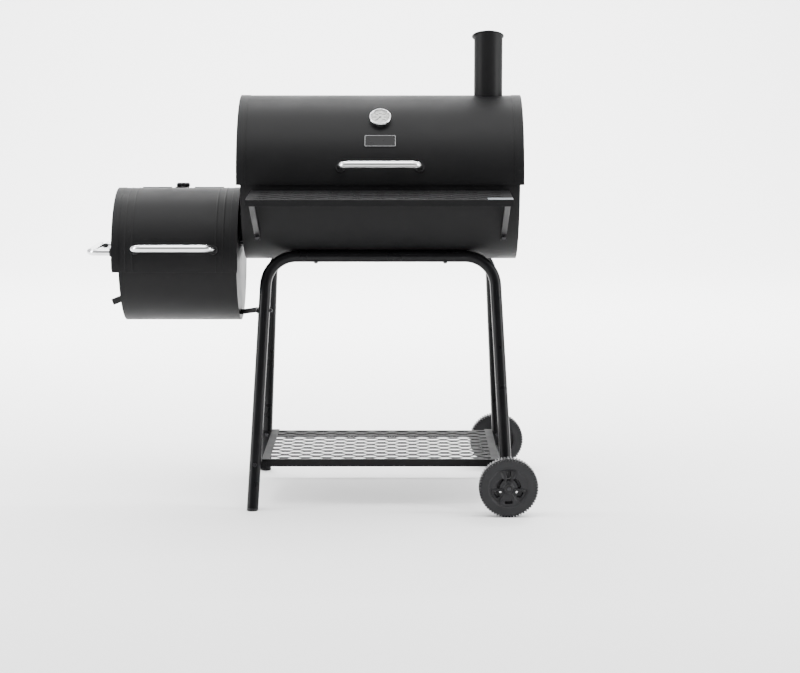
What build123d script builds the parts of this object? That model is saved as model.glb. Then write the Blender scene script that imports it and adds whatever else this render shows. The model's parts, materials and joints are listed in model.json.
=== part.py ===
from build123d import *
import os
from math import asin, atan2, cos, degrees, radians, sin, sqrt, tan

os.makedirs("parts", exist_ok=True)

# Barrel charcoal grill with an offset firebox, in millimetres.
# +X runs along the barrel away from the firebox, -Y is the front, +Z is up.
# The origin is on the ground, under the middle of the whole grill.

# ------------------------------------------------------------------ driving sizes
# Sheet steel, gaps and fits
sheet = 1.0
weld_gap = 0.1
swing_gap = 0.5
pin_clearance = 0.05

# Main barrel
barrel_length = 762.0
barrel_radius = 228.6
barrel_axis_z = 901.0
end_flange_width = 15.0

# Main lid
lid_gap = 1.9
lid_overhang = 11.0
lid_lap = 7.0
lid_rear_lift = 2.0
lid_band_width = 25.0

# Butt hinges, the same pattern on both lids
knuckle_radius = 7.0
lid_knuckle_width = 14.0
hood_knuckle_width = 10.5
hinge_pin_radius = 3.0
hinge_pin_head = 2.0
hinge_pin_flange = 2.0
knuckle_gap = 0.5
leaf_thickness = 3.0
lid_leaf_width = 60.0
hood_leaf_width = 34.0
hinge_spread = 500.0
hinge_stand_off = 14.0

# Bent tube handles
handle_radius = 10.0
handle_length = 235.0
handle_leg = 58.0
handle_bend = 28.0
spacer_radius = 12.5
spacer_thickness = 8.0
side_spacer_thickness = 34.0

# Thermometer, name plate and chimney on the lid
gauge_angle = 46.0
gauge_radius = 30.0
gauge_depth = 14.0
plate_angle = 28.7
plate_length = 86.0
plate_height = 35.0
plate_corner = 2.0
lid_handle_angle = 10.0
chimney_x = 302.0
chimney_radius = 40.0
chimney_top_z = 1310.0
chimney_slant = 20.0
cap_radius = 45.0
cap_offset_x = -1.5

# Offset firebox
firebox_radius = 186.0
firebox_axis_z = 683.0
firebox_left_x = -723.0
firebox_drop = 25.0
duct_half_width = 62.0
duct_bottom_z = 716.0
duct_height = 100.0
duct_corner = 12.0
hood_gap = 2.0
hood_left_overhang = 19.0
hood_clear_of_lid = 2.0
hood_plate_gap = 2.0
hood_front_drop = 33.0
hood_band_width = 20.0
hood_lip = 13.0
hood_hinge_angle = 69.0
hood_handle_angle = 9.0

# Damper on the firebox
damper_z = 583.0
damper_radius = 48.0
vent_pitch_radius = 29.0
vent_radius = 12.0
damper_grip_length = 46.0
damper_grip_width = 18.0
damper_grip_tilt = 22.0

# Stand
leg_radius = 16.0
leg_wall = 1.5
rail_y = 122.0
foot_y = 272.0
corner_x = 316.0
foot_x = 353.0
leg_bend = 85.0
foot_pad = 5.0

strut_leg_z = 541.0

# Wheels
wheel_radius = 81.0
wheel_width = 36.0
axle_radius = 5.0
leg_end_below_axle = 24.0
wheel_stand_off = 54.0
sleeve_gap = 6.0
axle_cap_thickness = 6.0
axle_tail = 2.0

# Lower shelf
lower_shelf_z = 132.0
lower_shelf_half_depth = 219.0
shelf_rim = 20.0
end_frame_width = 22.0
end_frame_drop = 24.0
shelf_slot_pitch = (60.0, 49.0, 47.0, 17.0)
slot_flat = 0.2
shelf_slot_margin = 8.0

# Front shelf
front_shelf_half_length = 351.0
front_shelf_back_y = -240.0
front_shelf_front_y = -450.0
front_shelf_front_z = 868.5
front_shelf_tilt = 3.0
front_shelf_rim = 17.0
front_slot_pitch = (62.0, 44.0, 44.0, 14.0)
front_slot_margin = 12.0
arm_x = 340.0
arm_width = 15.0
arm_thickness = 4.0
arm_foot_angle = -41.6
back_foot_angle = -12.0
back_bracket_x = 250.0

# Grates and charcoal pan
grate_z = 886.0
grate_wire = 3.0
grate_rod = 4.0
grate_pitch = 22.0
grate_sink = 1.0
grate_rod_inset = 8.0
ledge_width = 8.0
ledge_drop = 10.0
pan_half_length = 290.0
pan_half_width = 165.0
pan_floor_z = 762.0
pan_depth = 40.0
pan_lift = 50.0
pan_pin_radius = 4.0

# M6 fasteners
bolt_radius = 3.0
bolt_head = 5.8
bolt_head_height = 4.0
nut_height = 5.0
bolt_tail = 2.0

# ------------------------------------------------------------------ derived sizes
lid_inner = barrel_radius + lid_gap
lid_radius = lid_inner + sheet
band_radius = lid_radius + sheet
barrel_half = barrel_length / 2
lid_half = barrel_half + lid_overhang
barrel_inner = barrel_radius - sheet
lid_pivot_y = band_radius + hinge_stand_off

hood_inner = firebox_radius + hood_gap
hood_radius = hood_inner + sheet
hood_band_radius = hood_radius + sheet
hood_right_x = -lid_half - hood_clear_of_lid
hood_left_x = firebox_left_x - hood_left_overhang
firebox_right_x = hood_right_x - sheet - hood_plate_gap
firebox_inner = firebox_radius - sheet
hood_mid_x = (hood_left_x + hood_right_x) / 2
hood_front_angle = 180 + degrees(asin(hood_front_drop / hood_radius))
hood_pivot_radius = hood_band_radius + 2 * knuckle_radius + hinge_pin_flange
hood_pivot_y = hood_pivot_radius * cos(radians(hood_hinge_angle))
hood_pivot_z = firebox_axis_z + hood_pivot_radius * sin(radians(hood_hinge_angle))

rail_z = barrel_axis_z - sqrt((barrel_radius + leg_radius + weld_gap) ** 2 - rail_y**2)
leg_bore = leg_radius - leg_wall
splay = (foot_x - corner_x) / rail_z
rake = (foot_y - rail_y) / rail_z
axle_z = wheel_radius
axle_x = foot_x - splay * axle_z
leg_outer_y_at_axle = foot_y - rake * axle_z + leg_radius
wheel_y = leg_outer_y_at_axle + wheel_width / 2 + wheel_stand_off

side_handle_out = firebox_left_x - side_spacer_thickness - handle_leg - handle_radius
axle_end_y = wheel_y + wheel_width / 2 + swing_gap + axle_cap_thickness + axle_tail
grill_x = -(side_handle_out + axle_x + wheel_radius) / 2
grill_y = -(front_shelf_front_y + axle_end_y) / 2


# ------------------------------------------------------------------ working planes
def at(x, y, z):
    """A point given from the middle of the barrel's length and its axis."""
    return Vector(grill_x + x, grill_y + y, z)


def level(z, x=0, y=0):
    """A horizontal plane at a height."""
    return Plane(origin=at(x, y, z), x_dir=(1, 0, 0), z_dir=(0, 0, 1))


def across(x):
    """A plane square to the barrel, whose own axes are world Y and Z."""
    return Plane(origin=at(x, 0, 0), x_dir=(0, 1, 0), z_dir=(1, 0, 0))


def facing(y):
    """An upright plane that faces the front, whose own axes are world X and Z."""
    return Plane(origin=at(0, y, 0), x_dir=(1, 0, 0), z_dir=(0, -1, 0))


def on_drum(axis_z, radius, angle, x):
    """A plane touching a drum, at an angle above the horizontal on its front."""
    y = -radius * cos(radians(angle))
    z = axis_z + radius * sin(radians(angle))
    outward = (0, -cos(radians(angle)), sin(radians(angle)))
    return Plane(origin=at(x, y, z), x_dir=(1, 0, 0), z_dir=outward)


def save(piece, name):
    """Label a finished piece and write its own STEP file."""
    piece.part.label = name
    export_step(piece.part, "parts/" + name + ".step")


# ------------------------------------------------------------------ shared shapes
def curved_strip(axis_z, inner, outer, start, end, x_from, x_to):
    """A strip of drum wall between two angles, measured from the rear over the top."""
    with BuildPart() as strip:
        with BuildSketch(across(x_from)):
            with BuildLine():
                outside = CenterArc((0, axis_z), outer, start, end - start)
                inside = CenterArc((0, axis_z), inner, start, end - start)
                Line(outside @ 0, inside @ 0)
                Line(outside @ 1, inside @ 1)
            make_face()
        extrude(amount=x_to - x_from)
    return strip


def bent_tube(points, bend, outer, bore):
    """A round tube swept along straight runs joined by arcs; bore 0 gives a rod."""
    with BuildPart() as tube:
        with BuildLine() as path:
            FilletPolyline(*points, radius=bend)
        with BuildSketch(Plane(origin=path.line @ 0, z_dir=path.line % 0)):
            Circle(outer)
            if bore:
                Circle(bore, mode=Mode.SUBTRACT)
        sweep()
    return tube


def flat_bar(points, bend, x, width, thickness):
    """A flat bar bent in the YZ plane, centred on x; points are its middle line."""
    with BuildPart() as bar:
        with BuildLine() as path:
            FilletPolyline(*[at(x, y, z) for y, z in points], radius=bend)
        with BuildSketch(Plane(origin=path.line @ 0, x_dir=(1, 0, 0), z_dir=path.line % 0)):
            Rectangle(width, thickness)
        sweep()
    return bar


def bolts(planes, grip):
    """Hex bolts whose heads sit on the planes, with a nut behind the gripped plates."""
    with BuildPart() as group:
        with BuildSketch(*planes):
            RegularPolygon(bolt_head, 6)
        extrude(amount=bolt_head_height)
        with BuildSketch(*planes):
            Circle(bolt_radius)
        extrude(amount=-(grip + nut_height + bolt_tail))
        with BuildSketch(*[plane.offset(-grip) for plane in planes]):
            RegularPolygon(bolt_head, 6)
            Circle(bolt_radius + pin_clearance, mode=Mode.SUBTRACT)
        extrude(amount=-nut_height)
    return group


def drill(planes, radius, depth):
    """Cut round holes, centred on the planes, from the part being built."""
    with Locations(*planes):
        Cylinder(radius, depth, mode=Mode.SUBTRACT)


def tube_handle(plane, leg):
    """A handle of bent tube; the plane holds its two feet and faces away from them."""
    reach = handle_length / 2 - handle_radius
    corners = [(-reach, 0, 0), (-reach, 0, leg), (reach, 0, leg), (reach, 0, 0)]
    points = [plane.from_local_coords(corner) for corner in corners]
    return bent_tube(points, handle_bend, handle_radius, handle_radius - sheet)


def handle_feet(plane, offset=0.0):
    """The planes of a handle's two feet, moved along the handle's legs by an offset."""
    reach = handle_length / 2 - handle_radius
    feet = [plane.from_local_coords((side * reach, 0, offset)) for side in (-1, 1)]
    return [Plane(origin=foot, x_dir=plane.x_dir, z_dir=plane.z_dir) for foot in feet]


def handle_spacers(plane, thickness):
    """Plastic rings between a handle's feet and the wall that lies under the plane."""
    with BuildPart() as rings:
        with BuildSketch(*handle_feet(plane, -thickness)):
            Circle(spacer_radius)
            Circle(bolt_radius + pin_clearance, mode=Mode.SUBTRACT)
        extrude(amount=thickness)
    return rings


def handle_screws(plane, thickness, wall):
    """Screws with their heads inside the wall, threaded up into a handle's feet."""
    head_side = thickness + wall + weld_gap
    with BuildPart() as screws:
        with BuildSketch(*handle_feet(plane, -head_side)):
            Circle(bolt_head)
        extrude(amount=-bolt_head_height)
        with BuildSketch(*handle_feet(plane, -head_side)):
            Circle(bolt_radius)
        extrude(amount=head_side + 2 * handle_radius)
        with BuildSketch(*handle_feet(plane, weld_gap)):
            RegularPolygon(handle_radius - sheet - weld_gap, 6)
        extrude(amount=handle_radius)
    return screws


def polar(axis_z, radius, angle):
    """A point of a cross-section, at an angle measured from the rear over the top."""
    return radius * cos(radians(angle)), axis_z + radius * sin(radians(angle))


def hinge_leaf(strip, pivot, web, knuckles):
    """A leaf curved to a drum wall, with knuckles held out at the pin on webs.

    knuckles lists the X span of each knuckle, web is the outline joining it to the leaf.
    """
    with BuildPart() as piece:
        add(strip.part)
        for x_from, x_to in knuckles:
            with BuildSketch(across(x_from)):
                Polygon(*web, align=None)
                with Locations(pivot):
                    Circle(knuckle_radius)
                    Circle(hinge_pin_radius + pin_clearance, mode=Mode.SUBTRACT)
            extrude(amount=x_to - x_from)
    return piece


def hinge_pin(pivot, x_from, x_to):
    """A plain pin with a round head at each end, in line with the drum."""
    with BuildPart() as pin:
        with BuildSketch(across(x_from)):
            with Locations(pivot):
                Circle(hinge_pin_radius)
        extrude(amount=x_to - x_from)
        for x, way in ((x_from, -1), (x_to, 1)):
            with BuildSketch(across(x)):
                with Locations(pivot):
                    Circle(hinge_pin_radius + hinge_pin_flange)
            extrude(amount=way * hinge_pin_head)
    return pin


def wire_grate(x_from, x_to, half_width, z):
    """A flat grate: thick rods along X with thinner wires laid across them."""
    middle = (x_from + x_to) / 2
    length = x_to - x_from
    count = int(length // grate_pitch)
    rod_y = half_width - grate_rod_inset
    with BuildPart() as grate:
        with BuildSketch(across(x_from)):
            for y in (-rod_y, -rod_y / 3, rod_y / 3, rod_y):
                with Locations((y, z)):
                    Circle(grate_rod)
        extrude(amount=length)
        with BuildSketch(facing(half_width)):
            with Locations((middle, z + grate_rod + grate_wire - grate_sink)):
                with GridLocations(grate_pitch, 1, count, 1):
                    Circle(grate_wire)
        extrude(amount=2 * half_width)
    return grate


def grate_ledges(axis_z, inner, rod_bottom_z, rod_y, x_from, x_to):
    """A pair of angle strips along a drum's wall that carry a grate's outer rods."""
    top = rod_bottom_z - weld_gap
    edge = rod_y - ledge_width
    with BuildPart() as ledges:
        with BuildSketch(across(x_from)):
            for side in (-1, 1):
                Polygon(
                    (side * edge, top), (side * inner, top), (side * inner, top - sheet),
                    (side * (edge + sheet), top - sheet), (side * (edge + sheet), top - ledge_drop),
                    (side * edge, top - ledge_drop), align=None)
            with Locations((0, axis_z)):
                Circle(inner - weld_gap / 2, mode=Mode.INTERSECT)
        extrude(amount=x_to - x_from)
    return ledges


def add_slots(pitch, half_x, half_y):
    """Cut staggered pointed slots that fill a rectangle of the sketch being drawn."""
    pitch_x, pitch_y, length, width = pitch
    columns = int((2 * half_x - length) // pitch_x) + 1
    rows = int((2 * half_y - width) // pitch_y) + 1
    flat = slot_flat * length
    side = [(length / 2, 0), (flat, width / 2), (-flat, width / 2)]
    outline = side + [(-x, -y) for x, y in side]
    with GridLocations(pitch_x, pitch_y, columns, rows):
        Polygon(*outline)
    with GridLocations(pitch_x, pitch_y, columns - 1, rows - 1):
        Polygon(*outline)


# ------------------------------------------------------------------ main barrel
shell_bolt_x = 180.0
stand_tilt = degrees(asin(rail_y / (barrel_radius + leg_radius + weld_gap)))
stand_bolt_planes = [
    on_drum(barrel_axis_z, barrel_radius + 2 * leg_radius + weld_gap, angle, x)
    for angle in (-90 + stand_tilt, -90 - stand_tilt)
    for x in (-shell_bolt_x, shell_bolt_x)
]
shelf_bolt_planes = [
    on_drum(barrel_axis_z, barrel_radius + arm_thickness + weld_gap, angle, side * x)
    for angle, x in ((arm_foot_angle, arm_x), (back_foot_angle, back_bracket_x))
    for side in (-1, 1)
]
duct_mid_z = duct_bottom_z + duct_height / 2
collar_flange = 11.0
collar_bolt_y = duct_half_width + collar_flange / 2

with BuildPart() as barrel_shell:
    with BuildSketch(across(-barrel_half)):
        with Locations((0, barrel_axis_z)):
            Circle(barrel_radius)
            Circle(barrel_inner, mode=Mode.SUBTRACT)
            Rectangle(4 * barrel_radius, 2 * barrel_radius,
                      align=(Align.CENTER, Align.MIN), mode=Mode.SUBTRACT)
    extrude(amount=barrel_length)
    drill(stand_bolt_planes, bolt_radius + pin_clearance, 6 * leg_radius)
    drill(shelf_bolt_planes, bolt_radius + pin_clearance, 6 * arm_thickness)
save(barrel_shell, "barrel_shell")


def barrel_end(x_out, inward):
    """A half-disc end plate with a flange turned in against the barrel wall."""
    with BuildPart() as plate:
        with BuildSketch(across(x_out)):
            with Locations((0, barrel_axis_z)):
                Circle(barrel_inner)
                Rectangle(4 * barrel_radius, 2 * barrel_radius,
                          align=(Align.CENTER, Align.MIN), mode=Mode.SUBTRACT)
        extrude(amount=inward * end_flange_width)
        with BuildSketch(across(x_out + inward * sheet)):
            with Locations((0, barrel_axis_z)):
                Circle(barrel_inner - sheet)
        extrude(amount=inward * end_flange_width, mode=Mode.SUBTRACT)
    return plate


def duct_opening(grow=0.0, mode=Mode.ADD):
    """The outline of the smoke duct, grown by a margin, for the sketch being drawn."""
    with Locations((0, duct_mid_z)):
        RectangleRounded(2 * (duct_half_width + grow), duct_height + 2 * grow, duct_corner + grow,
                         mode=mode)


collar_bolt_planes = [
    Plane(origin=at(-barrel_half + sheet, y, z), x_dir=(0, 1, 0), z_dir=(1, 0, 0))
    for y in (-collar_bolt_y, collar_bolt_y)
    for z in (duct_bottom_z + duct_corner, duct_bottom_z + duct_height - duct_corner)
]
left_plate = barrel_end(-barrel_half, 1)
with BuildPart() as barrel_end_left:
    add(left_plate.part)
    with BuildSketch(across(-barrel_half - sheet)):
        duct_opening()
    extrude(amount=3 * sheet, mode=Mode.SUBTRACT)
    drill(collar_bolt_planes, bolt_radius + pin_clearance, 4 * sheet)
save(barrel_end_left, "barrel_end_left")

barrel_end_right = barrel_end(barrel_half, -1)
save(barrel_end_right, "barrel_end_right")

# ------------------------------------------------------------------ stand
def leg_points(side_x, side_y, end_z):
    """From the seam in the middle of a rail, out to the bend and down a leg."""
    seam = at(0, side_y * rail_y, rail_z)
    corner = at(side_x * corner_x, side_y * rail_y, rail_z)
    foot = at(side_x * (foot_x - splay * end_z), side_y * (foot_y - rake * end_z), end_z)
    return [seam, corner, foot]


def leg_centre(side_x, side_y, z):
    """The centre of a leg at a height, from the middle of the barrel."""
    return (side_x * (foot_x - splay * z), side_y * (foot_y - rake * z), z)


shelf_screw_z = lower_shelf_z - shelf_rim / 2
seam_bolt_x = 35.0


def leg_screw_plane(side_x, side_y, z):
    """A plane on the outer face of a leg, square to its run down to the foot."""
    x, y, height = leg_centre(side_x, side_y, z)
    outward = Vector(0, side_y, rake).normalized()
    return Plane(origin=at(x, y, height) + outward * leg_radius, x_dir=(1, 0, 0), z_dir=outward)


shelf_screw_planes = [
    leg_screw_plane(side_x, side_y, shelf_screw_z) for side_x in (-1, 1) for side_y in (-1, 1)
]
seam_screw_planes = [
    Plane(origin=at(x, side_y * (rail_y - leg_radius), rail_z), x_dir=(1, 0, 0),
          z_dir=(0, -side_y, 0))
    for side_y in (-1, 1)
    for x in (-seam_bolt_x, seam_bolt_x)
]
strut_hole_plane = Plane(origin=at(*leg_centre(-1, -1, strut_leg_z)), z_dir=(1, 0, 0))

for side_x, across_name in ((-1, "left"), (1, "right")):
    for side_y, depth_name in ((-1, "front"), (1, "rear")):
        end_z = foot_pad if side_x < 0 else axle_z - leg_end_below_axle
        tube = bent_tube(leg_points(side_x, side_y, end_z), leg_bend, leg_radius, leg_bore)
        with BuildPart() as leg:
            add(tube.part)
            drill(stand_bolt_planes, bolt_radius + pin_clearance, 6 * leg_radius)
            drill(seam_screw_planes, bolt_radius + pin_clearance, leg_radius)
            drill(shelf_screw_planes, bolt_radius + pin_clearance, 6 * leg_radius)
            if side_x > 0:
                drill([Plane(origin=at(axle_x, 0, axle_z), z_dir=(0, 1, 0))],
                      axle_radius + pin_clearance, 3 * foot_y)
            elif side_y < 0:
                drill([strut_hole_plane], bolt_radius + pin_clearance, 6 * leg_radius)
        save(leg, "leg_" + depth_name + "_" + across_name)

sleeve_half = 60.0
with BuildPart() as rail_sleeves:
    for side_y in (-1, 1):
        with BuildSketch(across(-sleeve_half)):
            with Locations((side_y * rail_y, rail_z)):
                Circle(leg_bore - weld_gap)
                Circle(leg_bore - weld_gap - leg_wall, mode=Mode.SUBTRACT)
        extrude(amount=2 * sleeve_half)
    drill(seam_screw_planes, bolt_radius + pin_clearance, leg_radius)
save(rail_sleeves, "rail_sleeves")

plug_length = 26.0
with BuildPart() as foot_plugs:
    for side_y in (-1, 1):
        foot = at(*leg_centre(-1, side_y, foot_pad))
        up_leg = (at(*leg_centre(-1, side_y, 2 * plug_length)) - foot).normalized()
        with BuildSketch(Plane(origin=foot - up_leg * weld_gap, z_dir=up_leg)):
            Circle(leg_radius)
        extrude(amount=-3 * foot_pad)
        with BuildSketch(Plane(origin=foot - up_leg * foot_pad, z_dir=up_leg)):
            Circle(leg_bore - weld_gap)
        extrude(amount=foot_pad + plug_length)
    split(bisect_by=Plane.XY, keep=Keep.TOP)
save(foot_plugs, "foot_plugs")

# ------------------------------------------------------------------ axle and wheels
with BuildPart() as axle:
    with BuildSketch(Plane(origin=at(axle_x, -axle_end_y, axle_z), z_dir=(0, 1, 0))):
        Circle(axle_radius)
    extrude(amount=2 * axle_end_y)
save(axle, "axle")

sleeve_length = wheel_stand_off - sleeve_gap
axle_cap_radius = 11.0
with BuildPart() as axle_caps:
    for side_y in (-1, 1):
        wheel_outer = side_y * (wheel_y + wheel_width / 2 + swing_gap)
        wheel_inner = side_y * (wheel_y - wheel_width / 2 - swing_gap)
        with BuildSketch(Plane(origin=at(axle_x, wheel_outer, axle_z), z_dir=(0, side_y, 0))):
            Circle(axle_cap_radius)
            Circle(axle_radius + weld_gap, mode=Mode.SUBTRACT)
        extrude(amount=axle_cap_thickness)
        with BuildSketch(Plane(origin=at(axle_x, wheel_inner, axle_z), z_dir=(0, -side_y, 0))):
            Circle(axle_cap_radius)
            Circle(axle_radius + weld_gap, mode=Mode.SUBTRACT)
        extrude(amount=sleeve_length)
save(axle_caps, "axle_caps")

rim_depth = 27.0
rim_inner = wheel_radius - rim_depth
hub_radius = 13.0
web_thickness = 5.0
spoke_width = 9.0
spoke_root = 2.0
spoke_recess = 5.0
lug_count = 60
lug_length = 6.0
lug_width = 4.2
tread_depth = 2.5
wheel_hole_pitch = 26.0
wheel_hole_radius = 3.5
for side_y, name in ((-1, "wheel_front"), (1, "wheel_rear")):
    middle = Plane(origin=at(axle_x, side_y * wheel_y, axle_z), x_dir=(1, 0, 0),
                   z_dir=(0, side_y, 0))
    with BuildPart() as wheel:
        with BuildSketch(middle):
            Circle(wheel_radius - tread_depth)
            with PolarLocations(wheel_radius - lug_length / 2, lug_count):
                Rectangle(lug_length, lug_width)
            Circle(rim_inner, mode=Mode.SUBTRACT)
        extrude(amount=wheel_width / 2, both=True)
        with BuildSketch(middle):
            Circle(hub_radius)
        extrude(amount=wheel_width / 2, both=True)
        with BuildSketch(middle):
            Circle(rim_inner)
            with PolarLocations(wheel_hole_pitch, 3, start_angle=90):
                Circle(wheel_hole_radius, mode=Mode.SUBTRACT)
        extrude(amount=web_thickness / 2, both=True)
        with BuildSketch(middle):
            with PolarLocations((rim_inner + hub_radius) / 2, 3, start_angle=30):
                Rectangle(rim_inner - hub_radius + 2 * spoke_root, spoke_width)
        extrude(amount=wheel_width / 2 - spoke_recess, both=True)
        with BuildSketch(middle):
            Circle(axle_radius + pin_clearance)
        extrude(amount=wheel_width, both=True, mode=Mode.SUBTRACT)
    save(wheel, name)

# ------------------------------------------------------------------ lower shelf
leg_inner_x = foot_x - splay * lower_shelf_z - leg_radius
frame_thickness = 2.0
end_frame_outer_x = leg_inner_x - swing_gap
frame_top_z = lower_shelf_z + weld_gap + frame_thickness
ear_width = 40.0
ear_trim = 4.0
tray_half_length = end_frame_outer_x - frame_thickness - weld_gap

with BuildPart() as lower_shelf:
    with BuildSketch(level(lower_shelf_z)):
        Rectangle(2 * tray_half_length, 2 * lower_shelf_half_depth)
    extrude(amount=-shelf_rim)
    with BuildSketch(level(lower_shelf_z - sheet)):
        Rectangle(2 * (tray_half_length - sheet), 2 * (lower_shelf_half_depth - sheet))
    extrude(amount=-shelf_rim, mode=Mode.SUBTRACT)
    with BuildSketch(level(lower_shelf_z)):
        add_slots(shelf_slot_pitch, tray_half_length - sheet, lower_shelf_half_depth - shelf_slot_margin)
    extrude(amount=-sheet, mode=Mode.SUBTRACT)
save(lower_shelf, "lower_shelf")

with BuildPart() as shelf_end_frames:
    for side_x in (-1, 1):
        web_x = side_x * (end_frame_outer_x - frame_thickness / 2)
        lip_x = side_x * (end_frame_outer_x - end_frame_width / 2)
        end_y = foot_y - rake * shelf_screw_z - leg_radius / cos(atan2(rake, 1)) - weld_gap
        with BuildSketch(across(web_x)):
            with Locations((0, frame_top_z)):
                Rectangle(2 * (end_y - frame_thickness), end_frame_drop,
                          align=(Align.CENTER, Align.MAX))
        extrude(amount=frame_thickness / 2, both=True)
        with BuildSketch(level(frame_top_z)):
            with Locations((lip_x, 0)):
                Rectangle(end_frame_width, 2 * (end_y - frame_thickness))
        extrude(amount=-frame_thickness)
        with BuildSketch(*[leg_screw_plane(side_x, side_y, shelf_screw_z)
                           .offset(-2 * leg_radius - weld_gap) for side_y in (-1, 1)]):
            with Locations((-side_x * ear_width / 4, 0)):
                Rectangle(ear_width, end_frame_drop - ear_trim)
        extrude(amount=-frame_thickness)
    drill(shelf_screw_planes, bolt_radius + pin_clearance, 6 * leg_radius)
save(shelf_end_frames, "shelf_end_frames")

# ------------------------------------------------------------------ front shelf
front_shelf_depth = front_shelf_back_y - front_shelf_front_y
shelf_rise = tan(radians(front_shelf_tilt))
shelf_top = Plane(origin=at(0, front_shelf_front_y, front_shelf_front_z), x_dir=(1, 0, 0),
                  z_dir=(0, -shelf_rise, 1))
shelf_middle = front_shelf_depth / cos(radians(front_shelf_tilt)) / 2

bracket_notch_depth = 8.0
bracket_notch_gap = 0.5
with BuildPart() as front_shelf:
    with BuildSketch(shelf_top):
        with Locations((0, shelf_middle)):
            Rectangle(2 * front_shelf_half_length, 2 * shelf_middle)
    extrude(amount=-front_shelf_rim)
    with BuildSketch(shelf_top.offset(-sheet)):
        with Locations((0, shelf_middle)):
            Rectangle(2 * (front_shelf_half_length - sheet), 2 * (shelf_middle - sheet))
        with Locations(*[(side * back_bracket_x, 2 * shelf_middle) for side in (-1, 1)]):
            Rectangle(arm_width + 2 * bracket_notch_gap, bracket_notch_depth)
    extrude(amount=-front_shelf_rim, mode=Mode.SUBTRACT)
    with BuildSketch(shelf_top):
        with Locations((0, shelf_middle)):
            add_slots(front_slot_pitch, front_shelf_half_length - front_slot_margin,
                      shelf_middle - front_slot_margin)
    extrude(amount=-sheet, mode=Mode.SUBTRACT)
save(front_shelf, "front_shelf")


def tangent_point(angle, radius, reach):
    """A point on the flat that touches the front of the barrel at an angle."""
    y = -radius * cos(radians(angle)) + sin(radians(angle)) * reach
    z = barrel_axis_z + radius * sin(radians(angle)) + cos(radians(angle)) * reach
    return y, z


def under_shelf(y):
    """A point on the middle of a bar that lies against the underside of the shelf."""
    rise = shelf_rise * (y - front_shelf_front_y)
    return y, front_shelf_front_z + rise - sheet - weld_gap - arm_thickness / 2


arm_radius = barrel_radius + arm_thickness / 2 + weld_gap
arm_foot_reach = 14.0
arm_elbow_back = 44.0
arm_tip_back = 8.0
arm_bend = 8.0
bracket_foot_reach = 12.0
bracket_length = 40.0
bracket_bend = 5.0
arm_low = tangent_point(arm_foot_angle, arm_radius, -arm_foot_reach)
arm_high = tangent_point(arm_foot_angle, arm_radius, arm_foot_reach)
arm_elbow = under_shelf(front_shelf_front_y + arm_elbow_back)
arm_tip = under_shelf(front_shelf_front_y + arm_tip_back)
back_y, back_z = tangent_point(back_foot_angle, arm_radius, 0)
back_lean = radians(back_foot_angle)
back_reach = (under_shelf(back_y)[1] - back_z) / (cos(back_lean) - shelf_rise * sin(back_lean))
back_low = tangent_point(back_foot_angle, arm_radius, -bracket_foot_reach)
back_elbow = tangent_point(back_foot_angle, arm_radius, back_reach)
back_tip = under_shelf(back_elbow[0] - bracket_length)
with BuildPart() as front_shelf_arms:
    for side in (-1, 1):
        arm = flat_bar([arm_low, arm_high, arm_elbow, arm_tip], arm_bend, side * arm_x,
                       arm_width, arm_thickness)
        bracket = flat_bar([back_low, back_elbow, back_tip], bracket_bend,
                           side * back_bracket_x, arm_width, arm_thickness)
        add(arm.part)
        add(bracket.part)
    drill(shelf_bolt_planes, bolt_radius + pin_clearance, 3 * arm_thickness)
save(front_shelf_arms, "front_shelf_arms")

label_length = 66.0
label_depth = 34.0
label_inset = 1.0
label_front = 21.0
label_thickness = 1.2
label_x = front_shelf_half_length - label_inset - label_length / 2
with BuildPart() as shelf_label_plate:
    with BuildSketch(shelf_top):
        with Locations((label_x, label_front)):
            RectangleRounded(label_length, label_depth, plate_corner)
    extrude(amount=label_thickness)
save(shelf_label_plate, "shelf_label_plate")

with BuildPart() as shelf_bolts:
    add(bolts(shelf_bolt_planes, arm_thickness + weld_gap + sheet + weld_gap).part)
    add(bolts(shelf_screw_planes, 2 * leg_radius + 2 * weld_gap + frame_thickness).part)
save(shelf_bolts, "shelf_bolts")

with BuildPart() as stand_bolts:
    add(bolts(stand_bolt_planes, 2 * leg_radius + 2 * weld_gap + sheet).part)
    with BuildSketch(*[plane.offset(weld_gap) for plane in seam_screw_planes]):
        RegularPolygon(bolt_head, 6)
    extrude(amount=bolt_head_height)
    with BuildSketch(*[plane.offset(weld_gap) for plane in seam_screw_planes]):
        Circle(bolt_radius)
    extrude(amount=-leg_radius / 2)
save(stand_bolts, "stand_bolts")

# ------------------------------------------------------------------ inside the barrel
grate_gap = 2.0
grate_wall_gap = 14.0
grate_end_gap = 5.0
grate_half_width = barrel_inner - grate_wall_gap
grate_end_x = barrel_half - end_flange_width - grate_end_gap
with BuildPart() as cooking_grates:
    add(wire_grate(-grate_end_x, -grate_gap, grate_half_width, grate_z).part)
    add(wire_grate(grate_gap, grate_end_x, grate_half_width, grate_z).part)
save(cooking_grates, "cooking_grates")

firebox_grate_sink = 83.0
firebox_grate_gap = 4.0
firebox_grate_z = firebox_axis_z - firebox_grate_sink
firebox_grate_half = sqrt(firebox_inner**2 - firebox_grate_sink**2) - grate_wall_gap
firebox_grate_left = firebox_left_x + end_flange_width + firebox_grate_gap
firebox_grate_right = firebox_right_x - end_flange_width - firebox_grate_gap
firebox_grate = wire_grate(firebox_grate_left, firebox_grate_right, firebox_grate_half,
                           firebox_grate_z)
save(firebox_grate, "firebox_grate")

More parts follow.
